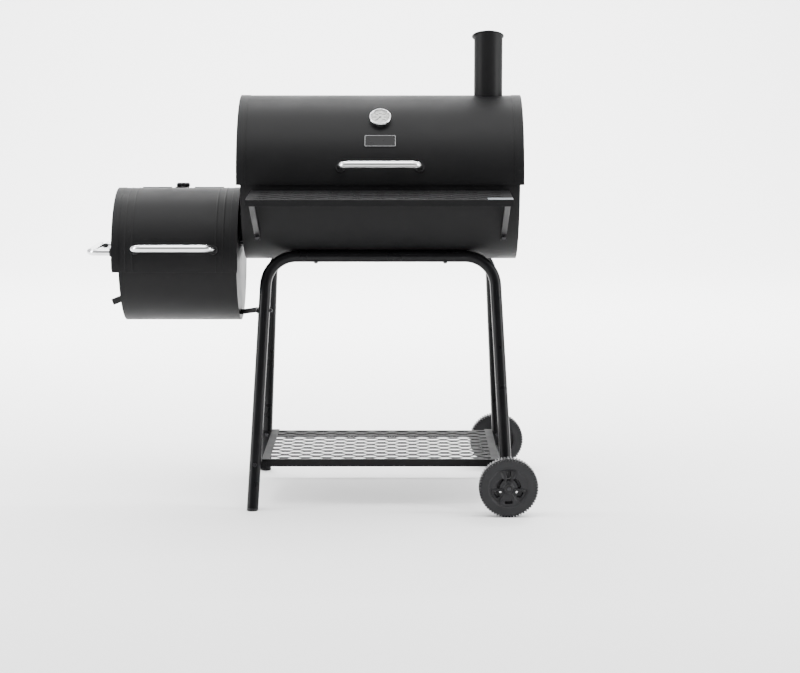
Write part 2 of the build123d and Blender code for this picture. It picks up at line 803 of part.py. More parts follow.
ledge_end_gap = 1.0
ledge_end_x = barrel_half - end_flange_width - ledge_end_gap
with BuildPart() as ledges:
    add(grate_ledges(barrel_axis_z, barrel_inner, grate_z - grate_rod,
                     grate_half_width - grate_rod_inset, -ledge_end_x, ledge_end_x).part)
    add(grate_ledges(firebox_axis_z, firebox_inner, firebox_grate_z - grate_rod,
                     firebox_grate_half - grate_rod_inset, firebox_grate_left,
                     firebox_grate_right).part)
save(ledges, "grate_ledges")

rack_z = 1000.0
rack_front_y = 45.0
rack_back_y = 175.0
rack_half_length = 320.0
rack_foot_inset = 20.0
rack_foot_reach = 12.0
rack_wires = 9
rack_wire = 2.5
rack_sink = 0.6 * rack_wire
rack_foot_z = grate_z + grate_rod + 2 * grate_wire - grate_sink + rack_wire + weld_gap
rack_leg_x = rack_half_length - rack_foot_inset
with BuildPart() as warming_rack:
    with BuildSketch(across(-rack_half_length)):
        with Locations(((rack_front_y + rack_back_y) / 2, rack_z)):
            with GridLocations((rack_back_y - rack_front_y) / (rack_wires - 1), 1, rack_wires, 1):
                Circle(rack_wire)
    extrude(amount=2 * rack_half_length)
    for x in (-rack_leg_x, rack_leg_x):
        bottom = rack_z - rack_sink
        loop = [(rack_back_y, bottom), (rack_front_y, bottom), (rack_front_y, rack_foot_z),
                (rack_back_y + rack_foot_reach, rack_foot_z), (rack_back_y, bottom - rack_wire)]
        leg_wire = bent_tube([at(x, y, z) for y, z in loop], 2 * rack_wire, rack_wire, 0)
        add(leg_wire.part)
save(warming_rack, "warming_rack")

pan_pin_drop = 12.0
pan_corner = 14.0
pan_slot_length = 50.0
pan_slot_width = 9.0
pan_slot_pitch_x = 90.0
pan_slot_pitch_y = 80.0
pan_slot_columns = 6
pan_slot_rows = 4
post_thickness = 2.5
post_stand_off = 10.0
pan_pin_z = pan_floor_z + pan_depth - pan_pin_drop
post_x = pan_half_length + post_stand_off
with BuildPart() as charcoal_pan:
    with BuildSketch(level(pan_floor_z)):
        RectangleRounded(2 * pan_half_length, 2 * pan_half_width, pan_corner)
    extrude(amount=pan_depth)
    with BuildSketch(level(pan_floor_z + sheet)):
        RectangleRounded(2 * (pan_half_length - sheet), 2 * (pan_half_width - sheet),
                         pan_corner - sheet)
    extrude(amount=pan_depth, mode=Mode.SUBTRACT)
    with BuildSketch(level(pan_floor_z)):
        with GridLocations(pan_slot_pitch_x, pan_slot_pitch_y, pan_slot_columns, pan_slot_rows):
            SlotOverall(pan_slot_length, pan_slot_width)
    extrude(amount=sheet, mode=Mode.SUBTRACT)
    for side in (-1, 1):
        with BuildSketch(across(side * (pan_half_length - sheet))):
            with Locations((0, pan_pin_z)):
                Circle(pan_pin_radius)
        extrude(amount=side * (sheet + post_stand_off + 3 * post_thickness))
save(charcoal_pan, "charcoal_pan")

post_rise = 24.0
post_width = 64.0
hook_reach = 18.0
post_top_z = pan_pin_z + pan_lift + post_rise
slot_width = 2 * (pan_pin_radius + swing_gap)
with BuildPart() as pan_posts:
    for side in (-1, 1):
        with BuildSketch(across(side * post_x)):
            with Locations((0, barrel_axis_z)):
                Circle(barrel_inner - weld_gap)
            with Locations((0, post_top_z)):
                Rectangle(post_width, 2 * (post_top_z - barrel_axis_z + barrel_inner),
                          mode=Mode.INTERSECT)
            with Locations((0, post_top_z)):
                Rectangle(2 * barrel_radius, barrel_radius, align=(Align.CENTER, Align.MIN),
                          mode=Mode.SUBTRACT)
            with Locations((0, pan_pin_z)):
                Circle(slot_width / 2, mode=Mode.SUBTRACT)
                Rectangle(slot_width, 2 * barrel_radius, align=(Align.CENTER, Align.MIN),
                          mode=Mode.SUBTRACT)
            with Locations((hook_reach / 2, pan_pin_z + pan_lift)):
                SlotOverall(hook_reach + slot_width, slot_width, mode=Mode.SUBTRACT)
        extrude(amount=side * post_thickness)
save(pan_posts, "pan_posts")

# ------------------------------------------------------------------ firebox
firebox_top_angle = 68.0
upstand_height = 16.0
upstand_half = 117.0
upstand_notch = 32.0
firebox_front_angle = 180 + degrees(asin(firebox_drop / firebox_radius))
upstand_turn = degrees(sheet / firebox_radius)
with BuildPart() as firebox_shell:
    wall = curved_strip(firebox_axis_z, firebox_inner, firebox_radius, firebox_front_angle,
                        360 + firebox_top_angle, firebox_left_x, firebox_right_x)
    add(wall.part)
    for x_from, x_to in ((-upstand_half, -upstand_notch), (upstand_notch, upstand_half)):
        upstand = curved_strip(firebox_axis_z, firebox_inner, firebox_radius + upstand_height,
                               firebox_top_angle - upstand_turn, firebox_top_angle,
                               hood_mid_x + x_from, hood_mid_x + x_to)
        add(upstand.part)
save(firebox_shell, "firebox_shell")


def firebox_end(x_out, inward):
    """A full-disc end plate with a flange turned in against the firebox wall."""
    with BuildPart() as plate:
        with BuildSketch(across(x_out)):
            with Locations((0, firebox_axis_z)):
                Circle(firebox_inner)
        extrude(amount=inward * end_flange_width)
        with BuildSketch(across(x_out + inward * sheet)):
            with Locations((0, firebox_axis_z)):
                Circle(firebox_inner - sheet)
        extrude(amount=inward * end_flange_width, mode=Mode.SUBTRACT)
    return plate


def vent_holes(mode):
    """The three air holes under the damper, for the sketch being drawn."""
    with Locations((0, damper_z)):
        with PolarLocations(vent_pitch_radius, 3, start_angle=90):
            Circle(vent_radius, mode=mode)


side_handle_rise = 16.0
side_handle_z = firebox_axis_z + side_handle_rise
side_handle_plane = Plane(
    origin=at(firebox_left_x - side_spacer_thickness, 0, side_handle_z),
    x_dir=(0, 1, 0), z_dir=(-1, 0, 0))
side_feet = handle_feet(side_handle_plane)
shutter_gap = 0.4
shutter_x = firebox_left_x - shutter_gap
damper_bolt_plane = Plane(origin=at(shutter_x - sheet - shutter_gap, 0, damper_z),
                          x_dir=(0, 1, 0), z_dir=(-1, 0, 0))
left_disc = firebox_end(firebox_left_x, 1)
with BuildPart() as firebox_end_left:
    add(left_disc.part)
    with BuildSketch(across(firebox_left_x)):
        vent_holes(Mode.ADD)
    extrude(amount=sheet, mode=Mode.SUBTRACT)
    drill(side_feet, bolt_radius + pin_clearance, 3 * side_spacer_thickness)
    drill([damper_bolt_plane], bolt_radius + pin_clearance, 10 * sheet)
save(firebox_end_left, "firebox_end_left")

strut_thickness = 3.0
strut_width = 14.0
strut_z = 527.0
strut_start_y = -45.0
strut_bend_y = -78.0
strut_hole_inset = 10.0
strut_bend = 10.0
strut_tab_in = 22.0
strut_tab_out = 12.0
strut_plate_plane = Plane(
    origin=at(firebox_right_x + strut_thickness + weld_gap, strut_start_y - strut_hole_inset,
              strut_z), x_dir=(0, 1, 0), z_dir=(1, 0, 0))
collar_depth = -barrel_half - firebox_right_x
right_disc = firebox_end(firebox_right_x, -1)
with BuildPart() as firebox_end_right:
    add(right_disc.part)
    with BuildSketch(across(firebox_right_x + sheet)):
        duct_opening()
    extrude(amount=-3 * sheet, mode=Mode.SUBTRACT)
    drill(collar_bolt_planes, bolt_radius + pin_clearance, 4 * collar_depth)
    drill([strut_plate_plane], bolt_radius + pin_clearance, 10 * sheet)
save(firebox_end_right, "firebox_end_right")

with BuildPart() as firebox_collar:
    with BuildSketch(across(firebox_right_x)):
        duct_opening(collar_flange)
    extrude(amount=collar_depth)
    with BuildSketch(across(firebox_right_x + sheet)):
        duct_opening(collar_flange + sheet)
        duct_opening(sheet, Mode.SUBTRACT)
    extrude(amount=collar_depth - 2 * sheet, mode=Mode.SUBTRACT)
    with BuildSketch(across(firebox_right_x)):
        duct_opening()
    extrude(amount=collar_depth, mode=Mode.SUBTRACT)
    drill(collar_bolt_planes, bolt_radius + pin_clearance, 4 * collar_depth)
save(firebox_collar, "firebox_collar")

strut_leg_side = leg_centre(-1, -1, strut_leg_z)
strut_tab_x = strut_leg_side[0] - leg_radius - swing_gap - strut_thickness / 2
strut_plate_x = firebox_right_x + weld_gap + strut_thickness / 2
strut_points = [
    at(strut_plate_x, strut_start_y, strut_z),
    at(strut_plate_x, strut_bend_y, strut_z),
    at(strut_tab_x, strut_leg_side[1] + strut_tab_in, strut_leg_z),
    at(strut_tab_x, strut_leg_side[1] - strut_tab_out, strut_leg_z),
]
strut_bolt_plane = Plane(origin=at(strut_tab_x - strut_thickness / 2, strut_leg_side[1],
                                   strut_leg_z), x_dir=(0, 1, 0), z_dir=(-1, 0, 0))
with BuildPart() as firebox_strut:
    with BuildLine() as strut_path:
        FilletPolyline(*strut_points, radius=strut_bend)
    with BuildSketch(Plane(origin=strut_path.line @ 0, x_dir=(0, 0, 1),
                           z_dir=strut_path.line % 0)):
        Rectangle(strut_width, strut_thickness)
    sweep()
    drill([strut_plate_plane, strut_bolt_plane], bolt_radius + pin_clearance, 6 * strut_thickness)
save(firebox_strut, "firebox_strut")

with BuildPart() as firebox_bolts:
    add(bolts(collar_bolt_planes, collar_depth + 2 * sheet).part)
    add(bolts([strut_plate_plane], strut_thickness + weld_gap + sheet).part)
    add(bolts([strut_bolt_plane], strut_thickness + 2 * swing_gap + 2 * leg_radius).part)
    add(bolts([damper_bolt_plane], 2 * shutter_gap + 2 * sheet).part)
    add(handle_screws(side_handle_plane, side_spacer_thickness, sheet).part)
save(firebox_bolts, "firebox_bolts")

side_handle = tube_handle(side_handle_plane, handle_leg)
save(side_handle, "side_handle")
side_handle_spacers = handle_spacers(side_handle_plane, side_spacer_thickness)
save(side_handle_spacers, "side_handle_spacers")

# ------------------------------------------------------------------ damper
with BuildPart() as damper_shutter:
    with BuildSketch(across(shutter_x)):
        with Locations((0, damper_z)):
            Circle(damper_radius)
            Circle(bolt_radius + pin_clearance, mode=Mode.SUBTRACT)
        vent_holes(Mode.SUBTRACT)
    extrude(amount=-sheet)
save(damper_shutter, "damper_shutter")

grip_drop = 20.0
grip_thickness = 12.0
grip_corner = 2.0
grip_root_z = damper_z - grip_drop
grip_tilt = radians(damper_grip_tilt)
grip_face = Plane(origin=at(shutter_x - sheet, 0, grip_root_z), x_dir=(0, 1, 0),
                  z_dir=(-cos(grip_tilt), 0, -sin(grip_tilt)))
with BuildPart() as damper_grip:
    with BuildSketch(grip_face.offset(-damper_grip_width)):
        RectangleRounded(grip_thickness, damper_grip_width, grip_corner)
    extrude(amount=damper_grip_width + damper_grip_length)
    split(bisect_by=Plane(origin=at(shutter_x - sheet, 0, grip_root_z), z_dir=(-1, 0, 0)),
          keep=Keep.TOP)
save(damper_grip, "damper_grip")

# ------------------------------------------------------------------ firebox hood
hood_rear_angle = 70.0
hood_band_end = 180 + degrees(asin(firebox_drop / hood_band_radius))
hood_handle_plane = on_drum(firebox_axis_z, hood_radius + spacer_thickness, hood_handle_angle,
                            hood_mid_x)
hood_pivot = (hood_pivot_y, hood_pivot_z)
with BuildPart() as firebox_hood:
    hood_wall = curved_strip(firebox_axis_z, hood_inner, hood_radius, hood_rear_angle,
                             hood_front_angle, hood_left_x + sheet, hood_right_x - sheet)
    add(hood_wall.part)
    drill(handle_feet(hood_handle_plane), bolt_radius + pin_clearance, 6 * spacer_thickness)
save(firebox_hood, "firebox_hood")

with BuildPart() as hood_end_bands:
    for x_out, inward in ((hood_left_x, 1), (hood_right_x, -1)):
        low, high = sorted((x_out, x_out + inward * hood_band_width))
        band = curved_strip(firebox_axis_z, hood_radius, hood_band_radius, hood_rear_angle,
                            hood_band_end, low, high)
        low, high = sorted((x_out, x_out + inward * sheet))
        lip = curved_strip(firebox_axis_z, hood_band_radius - hood_lip, hood_band_radius,
                           hood_rear_angle, hood_band_end, low, high)
        add(band.part)
        add(lip.part)
save(hood_end_bands, "hood_end_bands")

hood_handle = tube_handle(hood_handle_plane, handle_leg)
save(hood_handle, "hood_handle")
hood_handle_spacers = handle_spacers(hood_handle_plane, spacer_thickness)
save(hood_handle_spacers, "hood_handle_spacers")
hood_handle_screws = handle_screws(hood_handle_plane, spacer_thickness, sheet)
save(hood_handle_screws, "hood_handle_screws")

# ------------------------------------------------------------------ main lid
rim_z = barrel_axis_z - lid_lap
rear_rim_z = barrel_axis_z + lid_rear_lift
gauge_plane = on_drum(barrel_axis_z, lid_radius, gauge_angle, 0)
plate_plane = on_drum(barrel_axis_z, lid_radius, plate_angle, 0)
lid_handle_plane = on_drum(barrel_axis_z, lid_radius + spacer_thickness, lid_handle_angle, 0)
chimney_axis = level(barrel_axis_z, chimney_x, 0)
lid_front_angle = 180 + degrees(asin(lid_lap / lid_radius))
lid_rear_angle = degrees(asin(lid_rear_lift / lid_radius))
with BuildPart() as lid_shell:
    lid_wall = curved_strip(barrel_axis_z, lid_inner, lid_radius, lid_rear_angle,
                            lid_front_angle, -lid_half + sheet, lid_half - sheet)
    add(lid_wall.part)
    with BuildSketch(chimney_axis):
        Circle(chimney_radius + weld_gap)
    extrude(amount=2 * barrel_radius, mode=Mode.SUBTRACT)
    drill([gauge_plane], bolt_radius + swing_gap, 6 * spacer_thickness)
    drill(handle_feet(lid_handle_plane), bolt_radius + pin_clearance, 6 * spacer_thickness)
save(lid_shell, "lid_shell")

for x_out, inward, name in ((-lid_half, 1, "lid_end_left"), (lid_half, -1, "lid_end_right")):
    with BuildPart() as lid_end:
        with BuildSketch(across(x_out)):
            with Locations((0, barrel_axis_z)):
                Circle(band_radius)
            with Locations((0, rim_z)):
                Rectangle(4 * barrel_radius, 2 * barrel_radius,
                          align=(Align.CENTER, Align.MAX), mode=Mode.SUBTRACT)
        extrude(amount=inward * lid_band_width)
        outer_edge = lid_end.edges().filter_by(GeomType.CIRCLE).sort_by(Axis.X)
        fillet(outer_edge[0 if inward > 0 else -1], 0.8 * sheet)
        with BuildSketch(across(x_out + inward * sheet)):
            with Locations((0, barrel_axis_z)):
                Circle(lid_radius)
        extrude(amount=inward * lid_band_width, mode=Mode.SUBTRACT)
    save(lid_end, name)

lid_handle = tube_handle(lid_handle_plane, handle_leg)
save(lid_handle, "lid_handle")
lid_handle_spacers = handle_spacers(lid_handle_plane, spacer_thickness)
save(lid_handle_spacers, "lid_handle_spacers")

with BuildPart() as name_plate:
    with BuildSketch(plate_plane):
        RectangleRounded(plate_length, plate_height, plate_corner)
    extrude(amount=sheet)
save(name_plate, "name_plate")

# ------------------------------------------------------------------ thermometer
bezel_wall = 3.0
can_wall = 2.0
probe_hole_radius = 5.0
probe_length = 75.0
glass_thickness = 1.4
bezel_lip = 1.6
bezel_chamfer = 1.0
bezel_skirt = 2.0
bezel_cover = 1.2
can_radius = gauge_radius - bezel_wall
dial_z = gauge_depth - 4.0
glass_z = dial_z + 2.5
lip_z = glass_z + glass_thickness + weld_gap
with BuildPart() as thermometer_body:
    with BuildSketch(gauge_plane):
        Circle(can_radius)
    extrude(amount=dial_z)
    with BuildSketch(gauge_plane.offset(can_wall)):
        Circle(can_radius - can_wall)
        Circle(probe_hole_radius, mode=Mode.SUBTRACT)
    extrude(amount=dial_z, mode=Mode.SUBTRACT)
    with BuildSketch(gauge_plane):
        Circle(bolt_radius)
    extrude(amount=-probe_length)
save(thermometer_body, "thermometer_body")

post_radius = 0.75
dial_thickness = 0.8
needle_lift = 1.2
needle_thickness = 0.6
needle_hub = 3.0
needle_length = 21.0
needle_width = 3.0
needle_turn = 135.0
with BuildPart() as thermometer_dial:
    with BuildSketch(gauge_plane.offset(dial_z)):
        Circle(can_radius)
    extrude(amount=dial_thickness)
    with BuildSketch(gauge_plane.offset(dial_z)):
        Circle(post_radius)
    extrude(amount=needle_lift + needle_thickness + swing_gap / 2)
save(thermometer_dial, "thermometer_dial")

with BuildPart() as thermometer_needle:
    with BuildSketch(gauge_plane.offset(dial_z + needle_lift)):
        Circle(needle_hub)
        with Locations(Location((0, 0, 0), (0, 0, needle_turn))):
            Polygon((-needle_width / 2, 0), (needle_width / 2, 0), (0, needle_length), align=None)
        Circle(post_radius + pin_clearance, mode=Mode.SUBTRACT)
    extrude(amount=needle_thickness)
save(thermometer_needle, "thermometer_needle")

with BuildPart() as thermometer_glass:
    with BuildSketch(gauge_plane.offset(glass_z)):
        Circle(can_radius)
    extrude(amount=glass_thickness)
save(thermometer_glass, "thermometer_glass")

with BuildPart() as thermometer_bezel:
    with BuildSketch(gauge_plane.offset(dial_z - bezel_skirt)):
        Circle(gauge_radius)
    extrude(amount=lip_z - dial_z + bezel_skirt + bezel_cover)
    chamfer(thermometer_bezel.edges().group_by(Axis(gauge_plane.origin, gauge_plane.z_dir))[-1],
            bezel_chamfer)
    with BuildSketch(gauge_plane.offset(dial_z - bezel_skirt)):
        Circle(can_radius + weld_gap)
    extrude(amount=lip_z - dial_z + bezel_skirt, mode=Mode.SUBTRACT)
    with BuildSketch(gauge_plane.offset(dial_z - bezel_skirt)):
        Circle(can_radius - bezel_lip)
    extrude(amount=2 * gauge_depth, mode=Mode.SUBTRACT)
save(thermometer_bezel, "thermometer_bezel")

# ------------------------------------------------------------------ chimney
slant = radians(chimney_slant)
rim_middle_z = chimney_top_z - chimney_radius * tan(slant)
rim_plane = Plane(origin=at(chimney_x, 0, rim_middle_z), x_dir=(1, 0, 0),
                  z_dir=(0, sin(slant), cos(slant)))
pipe_bore = chimney_radius - sheet
pipe_tuck = 22.0
saddle_spread = 18.0
saddle_half_length = 58.0
flange_radius = 56.0
pipe_bottom_z = barrel_axis_z + lid_inner - pipe_tuck
cap_bolt_y = -29.5
lug_depth = 7.0
lug_width = 14.0
with BuildPart() as cap_lug:
    with BuildSketch(rim_plane):
        with Locations((0, cap_bolt_y + lug_width / 2)):
            Rectangle(lug_width, chimney_radius, align=(Align.CENTER, Align.MAX))
    extrude(amount=-lug_depth)
    with BuildSketch(level(pipe_bottom_z, chimney_x, 0)):
        Circle(chimney_radius - sheet / 2)
    extrude(amount=2 * barrel_radius, mode=Mode.INTERSECT)
with BuildPart() as chimney_pipe:
    with BuildSketch(level(pipe_bottom_z, chimney_x, 0)):
        Circle(chimney_radius)
        Circle(pipe_bore, mode=Mode.SUBTRACT)
    extrude(amount=chimney_top_z - pipe_bottom_z)
    split(bisect_by=rim_plane, keep=Keep.BOTTOM)
    add(cap_lug.part)
    with BuildSketch(rim_plane):
        with Locations((0, cap_bolt_y)):
            Circle(bolt_radius + pin_clearance)
    extrude(amount=-2 * lug_depth, mode=Mode.SUBTRACT)
save(chimney_pipe, "chimney_pipe")

with BuildPart() as chimney_flange:
    saddle = curved_strip(barrel_axis_z, lid_inner - sheet - weld_gap, lid_inner - weld_gap,
                          90 - saddle_spread, 90 + saddle_spread,
                          chimney_x - saddle_half_length, chimney_x + saddle_half_length)
    add(saddle.part)
    with BuildSketch(chimney_axis):
        Circle(flange_radius)
        Circle(chimney_radius + weld_gap, mode=Mode.SUBTRACT)
    extrude(amount=2 * barrel_radius, mode=Mode.INTERSECT)
save(chimney_flange, "chimney_flange")

cap_lift = 0.4
cap_thickness = 1.5
with BuildPart() as chimney_cap:
    with BuildSketch(rim_plane.offset(cap_lift)):
        with Locations((cap_offset_x, 0)):
            Circle(cap_radius)
        with Locations((0, cap_bolt_y)):
            Circle(bolt_radius + pin_clearance, mode=Mode.SUBTRACT)
    extrude(amount=cap_thickness)
save(chimney_cap, "chimney_cap")

head_plane = rim_plane.offset(cap_lift + cap_thickness + cap_lift)
gauge_nut_radius = 9.0
gauge_nut_gap = 0.5
with BuildPart() as lid_bolts:
    add(handle_screws(lid_handle_plane, spacer_thickness, sheet).part)
    with BuildSketch(gauge_plane.offset(-sheet - gauge_nut_gap)):
        RegularPolygon(gauge_nut_radius, 6)
        Circle(bolt_radius + pin_clearance, mode=Mode.SUBTRACT)
    extrude(amount=-nut_height)
    with BuildSketch(head_plane):
        with Locations((0, cap_bolt_y)):
            RegularPolygon(bolt_head, 6)
    extrude(amount=bolt_head_height)
    with BuildSketch(head_plane):
        with Locations((0, cap_bolt_y)):
            Circle(bolt_radius)
    extrude(amount=-(2 * cap_lift + cap_thickness + lug_depth + nut_height + bolt_tail))
    with BuildSketch(rim_plane.offset(-lug_depth - weld_gap)):
        with Locations((0, cap_bolt_y)):
            RegularPolygon(bolt_head, 6)
            Circle(bolt_radius + pin_clearance, mode=Mode.SUBTRACT)
    extrude(amount=-nut_height)
save(lid_bolts, "lid_bolts")

# ------------------------------------------------------------------ hinges
lid_pivot = (lid_pivot_y, barrel_axis_z)
leaf_bite = 1.0
# heights above the pin of each web's low and high edges, at the leaf and at the knuckle
body_web_levels = (-12.0, -12.0, -4.0, -7.5)
lid_web_levels = (3.5, 3.5, 6.5, 9.0)
body_web_root = barrel_radius + leaf_bite
lid_web_root = lid_radius + leaf_bite
body_web = [(y, barrel_axis_z + rise) for y, rise in zip(
    (body_web_root, lid_pivot_y, lid_pivot_y, body_web_root), body_web_levels)]
lid_web = [(y, barrel_axis_z + rise) for y, rise in zip(
    (lid_web_root, lid_pivot_y, lid_pivot_y, lid_web_root), lid_web_levels)]
# where each leaf starts and ends round its drum, in degrees
body_leaf_span = (-13.0, -2.2)
lid_leaf_span = (0.8, 11.0)
firebox_leaf_span = (50.0, 66.5)
hood_leaf_span = (71.5, 84.0)
lid_body_leaves = []
lid_lid_leaves = []
lid_pins = []
for side in (-1, 1):
    x = side * hinge_spread / 2
    half_leaf = lid_leaf_width / 2
    inner_end = lid_knuckle_width / 2
    outer_end = inner_end + knuckle_gap + lid_knuckle_width
    lower = curved_strip(barrel_axis_z, barrel_radius, barrel_radius + leaf_thickness,
                         *body_leaf_span, x - half_leaf, x + half_leaf)
    upper = curved_strip(barrel_axis_z, lid_radius, lid_radius + leaf_thickness,
                         *lid_leaf_span, x - half_leaf, x + half_leaf)
    spans = [(x - outer_end, x - inner_end - knuckle_gap),
             (x + inner_end + knuckle_gap, x + outer_end)]
    lid_body_leaves.append(hinge_leaf(lower, lid_pivot, body_web, spans))
    lid_lid_leaves.append(
        hinge_leaf(upper, lid_pivot, lid_web, [(x - inner_end, x + inner_end)]))
    lid_pins.append(hinge_pin(lid_pivot, x - outer_end - knuckle_gap, x + outer_end + knuckle_gap))

hood_inner_end = hood_knuckle_width / 2
hood_outer_end = hood_inner_end + knuckle_gap + hood_knuckle_width
hood_leaf_left = hood_mid_x - hood_leaf_width / 2
hood_leaf_right = hood_mid_x + hood_leaf_width / 2
hood_lower = curved_strip(firebox_axis_z, firebox_radius, firebox_radius + leaf_thickness,
                          *firebox_leaf_span, hood_leaf_left, hood_leaf_right)
hood_upper = curved_strip(firebox_axis_z, hood_radius, hood_radius + leaf_thickness,
                          *hood_leaf_span, hood_leaf_left, hood_leaf_right)
# corners of each web: the radius it starts from, how far from that, and the angle
firebox_web_corners = (
    (firebox_radius, 1.0, 65.2), (hood_pivot_radius, -2.0, 68.0),
    (hood_pivot_radius, -3.0, 69.4), (firebox_radius, 2.0, 67.2))
hood_web_corners = (
    (hood_radius, 1.0, 71.6), (hood_pivot_radius, -5.0, 69.6),
    (hood_pivot_radius, -3.0, 70.4), (hood_radius, 2.0, 73.5))
hood_lower_web = [polar(firebox_axis_z, radius + extra, angle)
                  for radius, extra, angle in firebox_web_corners]
hood_upper_web = [polar(firebox_axis_z, radius + extra, angle)
                  for radius, extra, angle in hood_web_corners]
hood_spans = [(hood_mid_x - hood_outer_end, hood_mid_x - hood_inner_end - knuckle_gap),
              (hood_mid_x + hood_inner_end + knuckle_gap, hood_mid_x + hood_outer_end)]
hood_body_leaf = hinge_leaf(hood_lower, hood_pivot, hood_lower_web, hood_spans)
hood_hinge_leaf = hinge_leaf(hood_upper, hood_pivot, hood_upper_web,
                             [(hood_mid_x - hood_inner_end, hood_mid_x + hood_inner_end)])

with BuildPart() as hinge_body_leaves:
    for leaf in lid_body_leaves + [hood_body_leaf]:
        add(leaf.part)
save(hinge_body_leaves, "hinge_body_leaves")

with BuildPart() as lid_hinge_leaves:
    for leaf in lid_lid_leaves:
        add(leaf.part)
save(lid_hinge_leaves, "lid_hinge_leaves")
save(hood_hinge_leaf, "hood_hinge_leaf")

with BuildPart() as hinge_pins:
    for pin in lid_pins:
        add(pin.part)
    add(hinge_pin(hood_pivot, hood_mid_x - hood_outer_end - knuckle_gap,
                  hood_mid_x + hood_outer_end + knuckle_gap).part)
save(hinge_pins, "hinge_pins")
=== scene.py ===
import json
import math

import bmesh
import bpy
import numpy as np
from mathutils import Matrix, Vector

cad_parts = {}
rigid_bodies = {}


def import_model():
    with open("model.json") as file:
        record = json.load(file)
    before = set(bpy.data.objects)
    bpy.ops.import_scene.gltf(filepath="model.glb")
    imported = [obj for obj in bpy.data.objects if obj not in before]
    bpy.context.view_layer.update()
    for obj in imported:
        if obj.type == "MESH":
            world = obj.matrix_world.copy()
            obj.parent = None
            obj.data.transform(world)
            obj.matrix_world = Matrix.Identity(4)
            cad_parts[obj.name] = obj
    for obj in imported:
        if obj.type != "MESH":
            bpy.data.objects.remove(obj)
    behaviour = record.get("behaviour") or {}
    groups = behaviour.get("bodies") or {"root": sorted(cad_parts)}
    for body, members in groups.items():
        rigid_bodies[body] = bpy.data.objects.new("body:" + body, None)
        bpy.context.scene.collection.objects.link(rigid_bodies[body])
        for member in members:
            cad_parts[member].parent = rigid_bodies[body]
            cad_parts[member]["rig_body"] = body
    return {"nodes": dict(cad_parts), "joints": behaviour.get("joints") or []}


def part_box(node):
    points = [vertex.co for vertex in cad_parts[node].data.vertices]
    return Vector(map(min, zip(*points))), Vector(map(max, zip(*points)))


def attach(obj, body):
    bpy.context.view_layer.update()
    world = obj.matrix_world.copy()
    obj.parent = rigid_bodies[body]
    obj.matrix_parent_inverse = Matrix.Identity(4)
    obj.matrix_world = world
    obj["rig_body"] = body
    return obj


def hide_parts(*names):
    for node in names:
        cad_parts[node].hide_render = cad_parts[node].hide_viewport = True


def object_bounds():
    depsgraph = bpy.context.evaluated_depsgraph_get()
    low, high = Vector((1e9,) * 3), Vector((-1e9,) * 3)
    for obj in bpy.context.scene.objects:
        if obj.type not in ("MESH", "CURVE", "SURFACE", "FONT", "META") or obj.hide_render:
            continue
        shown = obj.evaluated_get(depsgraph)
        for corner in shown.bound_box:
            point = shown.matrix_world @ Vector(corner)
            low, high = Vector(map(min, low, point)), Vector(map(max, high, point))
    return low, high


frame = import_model()
cad_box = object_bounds()

# ------------------------------------------------------------------ tube stand
# Four round steel tubes, bent once and joined in pairs under the barrel, then splayed out
# to the ground. They are powder coated in semi-gloss black, which gives long, soft, slightly
# rippled streaks of light down each tube.
MM = 0.001


def linear(hex_colour):
    """Turn an sRGB hex colour into the linear colour that a shader takes."""
    parts = [int(hex_colour[i:i + 2], 16) / 255 for i in (0, 2, 4)]
    return [p / 12.92 if p <= 0.04045 else ((p + 0.055) / 1.055) ** 2.4 for p in parts] + [1.0]


def node(tree, kind, settings=None, links=None):
    """Add a shader node, set its properties and sockets, and link what comes from others."""
    made = tree.nodes.new(kind)
    for name, value in (settings or {}).items():
        setattr(made, name, value)
    for socket, value in (links or {}).items():
        if isinstance(value, bpy.types.NodeSocket):
            tree.links.new(value, made.inputs[socket])
        else:
            made.inputs[socket].default_value = value
    return made


def start_material(name):
    """A new material with an empty tree, its surface output and its object coordinates."""
    made = bpy.data.materials.new(name)
    made.use_nodes = True
    tree = made.node_tree
    tree.nodes.clear()
    output = node(tree, "ShaderNodeOutputMaterial")
    place = node(tree, "ShaderNodeTexCoord").outputs["Object"]
    return made, tree, output, place


def coated_steel(name, colour, worn, rough, grain_mm, bump_mm, patch_mm=60):
    """A sprayed and baked coat on steel: fine orange peel, with a slow drift in its gloss.

    The peel is 1 to 2 mm across on the real coat; it is drawn a little coarser so it shows.
    """
    made, tree, output, place = start_material(name)
    peel = node(tree, "ShaderNodeTexNoise", links={
        "Vector": place, "Scale": 1 / (grain_mm * MM), "Detail": 3.0, "Roughness": 0.6})
    drift = node(tree, "ShaderNodeTexNoise", links={
        "Vector": place, "Scale": 1 / (patch_mm * MM), "Detail": 4.0, "Roughness": 0.55})
    gloss = node(tree, "ShaderNodeMapRange", links={
        "Value": drift.outputs["Fac"], "From Min": 0.3, "From Max": 0.7,
        "To Min": rough - 0.04, "To Max": rough + 0.05})
    tone = node(tree, "ShaderNodeMix", {"data_type": "RGBA"}, {
        "Factor": drift.outputs["Fac"], "A": linear(colour), "B": linear(worn)})
    bump = node(tree, "ShaderNodeBump", links={
        "Height": peel.outputs["Fac"], "Strength": 0.35, "Distance": bump_mm * MM})
    skin = node(tree, "ShaderNodeBsdfPrincipled", links={
        "Base Color": tone.outputs["Result"], "Roughness": gloss.outputs["Result"],
        "IOR": 1.5, "Specular IOR Level": 0.13, "Normal": bump.outputs["Normal"]})
    tree.links.new(skin.outputs["BSDF"], output.inputs["Surface"])
    return made


def finish_piece(made, body, material, replaced=()):
    """Give a finished object its material, hang it on its body, and hide the frame nodes it stands
    in for.
    """
    made.data.materials.clear()
    made.data.materials.append(material)
    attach(made, body)
    if replaced:
        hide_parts(*replaced)
    return made


